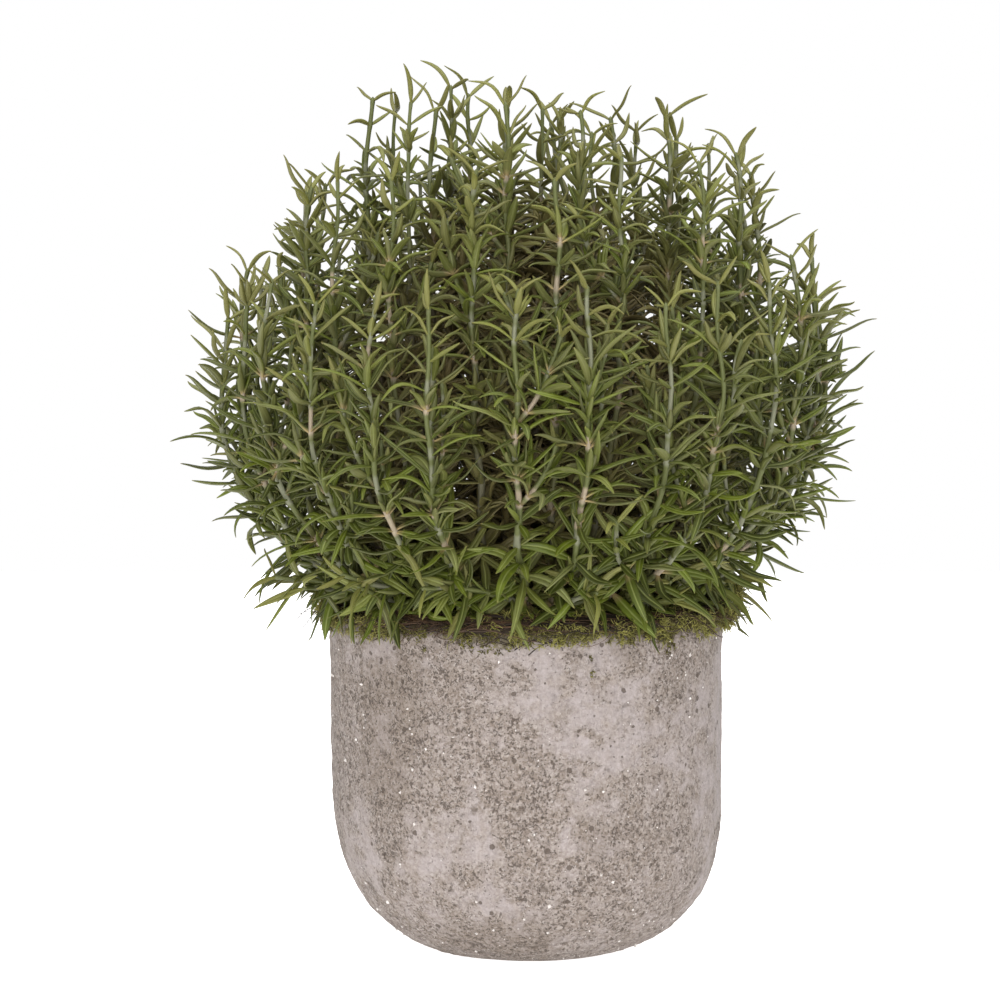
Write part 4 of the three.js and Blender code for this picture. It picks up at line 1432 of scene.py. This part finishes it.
def rosemaryLeaf():
    # Living rosemary leaf: waxy dark green above with a paler groove, felted grey-green below,
    # margins rolled under and pale, bases tan where they clasp the stem; darker and browner inside the
    # ball, painted shade there as well as old leaves
    reads = ("tone", "young", "lengthwise", "crosswise", "under", "bark", "inside", "lush")
    return buildMaterial("rosemaryLeafWaxed", 0.52, 1.36, reads, {
        "mottle": ("place", 3.5, 3),
        "wrinkle": ("place", 0.6, 2),
    }, {
        "green": ("ValToRGB", {"stops": {0.0: "#31350d", 0.3: "#3d4410", 0.55: "#495211",
                                         0.75: "#535d12", 0.86: "#525620", 1.0: "#5c5e37"}},
                  {0: "tone"}),
        "lushShare": ("Math", times, {0: "lush", 1: 0.42}),
        "lushGreen": ("Mix", {"data_type": "RGBA", "blend_type": "SOFT_LIGHT"},
                      {0: "lushShare", 6: "green", 7: "#a6b638"}),
        "surface": ("Mix", {"data_type": "RGBA", "blend_type": "OVERLAY"},
                    {0: 0.5, 6: "lushGreen", 7: "mottle"}),
        "groove": ("MapRange", eased, {0: "crosswise", 1: 0.24, 2: 0.03, 3: 0.0, 4: 0.5}),
        "marginShare": ("MapRange", None, {0: "lush", 3: 0.22, 4: 0.05}),
        "margin": ("MapRange", eased, {0: "crosswise", 1: 0.75, 2: 1.0, 3: 0.0, 4: "marginShare"}),
        "youngShare": ("Math", times, {0: "young", 1: 0.5}),
        "dryTip": ("MapRange", eased, {0: "lengthwise", 1: 0.93, 2: 1.0, 3: 0.0, 4: 0.55}),
        # painted shade of the ball's depths, also the brown of old leaves there
        "insideShadeShare": ("Math", times, {0: "inside", 1: 0.75}),
        "bump": ("Bump", None, {"Height": "wrinkle", "Strength": 0.35, "Distance": 0.0002}),
    }, [("groove", "#8a9154"), ("under", "#5c5c36"), ("margin", "#75744a"), ("youngShare", "#7a7540"),
        ("dryTip", "#7b6a3a"), ("bark", "#97835c"), ("insideShadeShare", "#6a5c3c")])


def rosemaryStem():
    # Square green stem with a grey bloom, turning to tan bark in patches and to wood at its foot;
    # darker and browner inside the ball, painted shade there
    reads = ("tone", "young", "lengthwise", "bark", "inside")
    return buildMaterial("rosemaryStemGreenWood", 0.62, 1.45, reads, {"streak": ("drawn", 0.5, 3)}, {
        "bloom": ("Mix", blended, {0: "young", 6: "#50552a", 7: "#6c6d57"}),
        "barkTone": ("Mix", blended, {0: "streak", 6: "#786d5f", 7: "#9e8f76"}),
        "barked": ("Mix", blended, {0: "bark", 6: "bloom", 7: "barkTone"}),
        "foot": ("MapRange", eased, {0: "lengthwise", 1: 0.14, 2: 0.0, 3: 0.0, 4: 0.85}),
        "wood": ("Mix", blended, {0: "streak", 6: "#4f3c28", 7: "#7d6547"}),
        "surface": ("Mix", blended, {0: "foot", 6: "barked", 7: "wood"}),
        # painted shade of the ball's depths, dark brown
        "insideShadeShare": ("Math", times, {0: "inside", 1: 0.8}),
        "bump": ("Bump", None, {"Height": "streak", "Strength": 0.5, "Distance": 0.0002}),
    }, [("insideShadeShare", "#4c412e")], stretch=0.12)


def makeSprays():
    leafMaterial = rosemaryLeaf()
    stemMaterial = rosemaryStem()
    leafCount = 0
    for n, spray in enumerate(planSprays()):
        grown = [growLeaves(shoot) for shoot in spray["shoots"]]
        counts = np.cumsum([0] + [len(rows) for rows, _ in grown])
        leafCount += counts[-1]
        leafBands = 0.1 + 0.9 * counts / counts[-1]
        stemBands = np.linspace(0, 0.08, len(grown) + 1)
        leaves, stems = [], []
        for k, (shoot, (rows, places)) in enumerate(zip(spray["shoots"], grown)):
            leaves.append(leafPart(rows, shoot, leafBands[k:k + 2]))
            stems.append(stemPart(shoot, places, stemBands[k:k + 2]))
        stems.append(trunkPart(spray["foot"], (0.08, 0.1)))
        node = f"spray_{n + 1:02d}"
        piece = addMesh(f"{node}_leafy", [joined(leaves), joined(stems)], [leafMaterial, stemMaterial])
        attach(piece, "root")
        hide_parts(node)
    print("rosemary:", leafCount, "leaves")


makeCamera()
makeStudio()
makePot()
makeSoil()
makeMoss()
makeSprays()
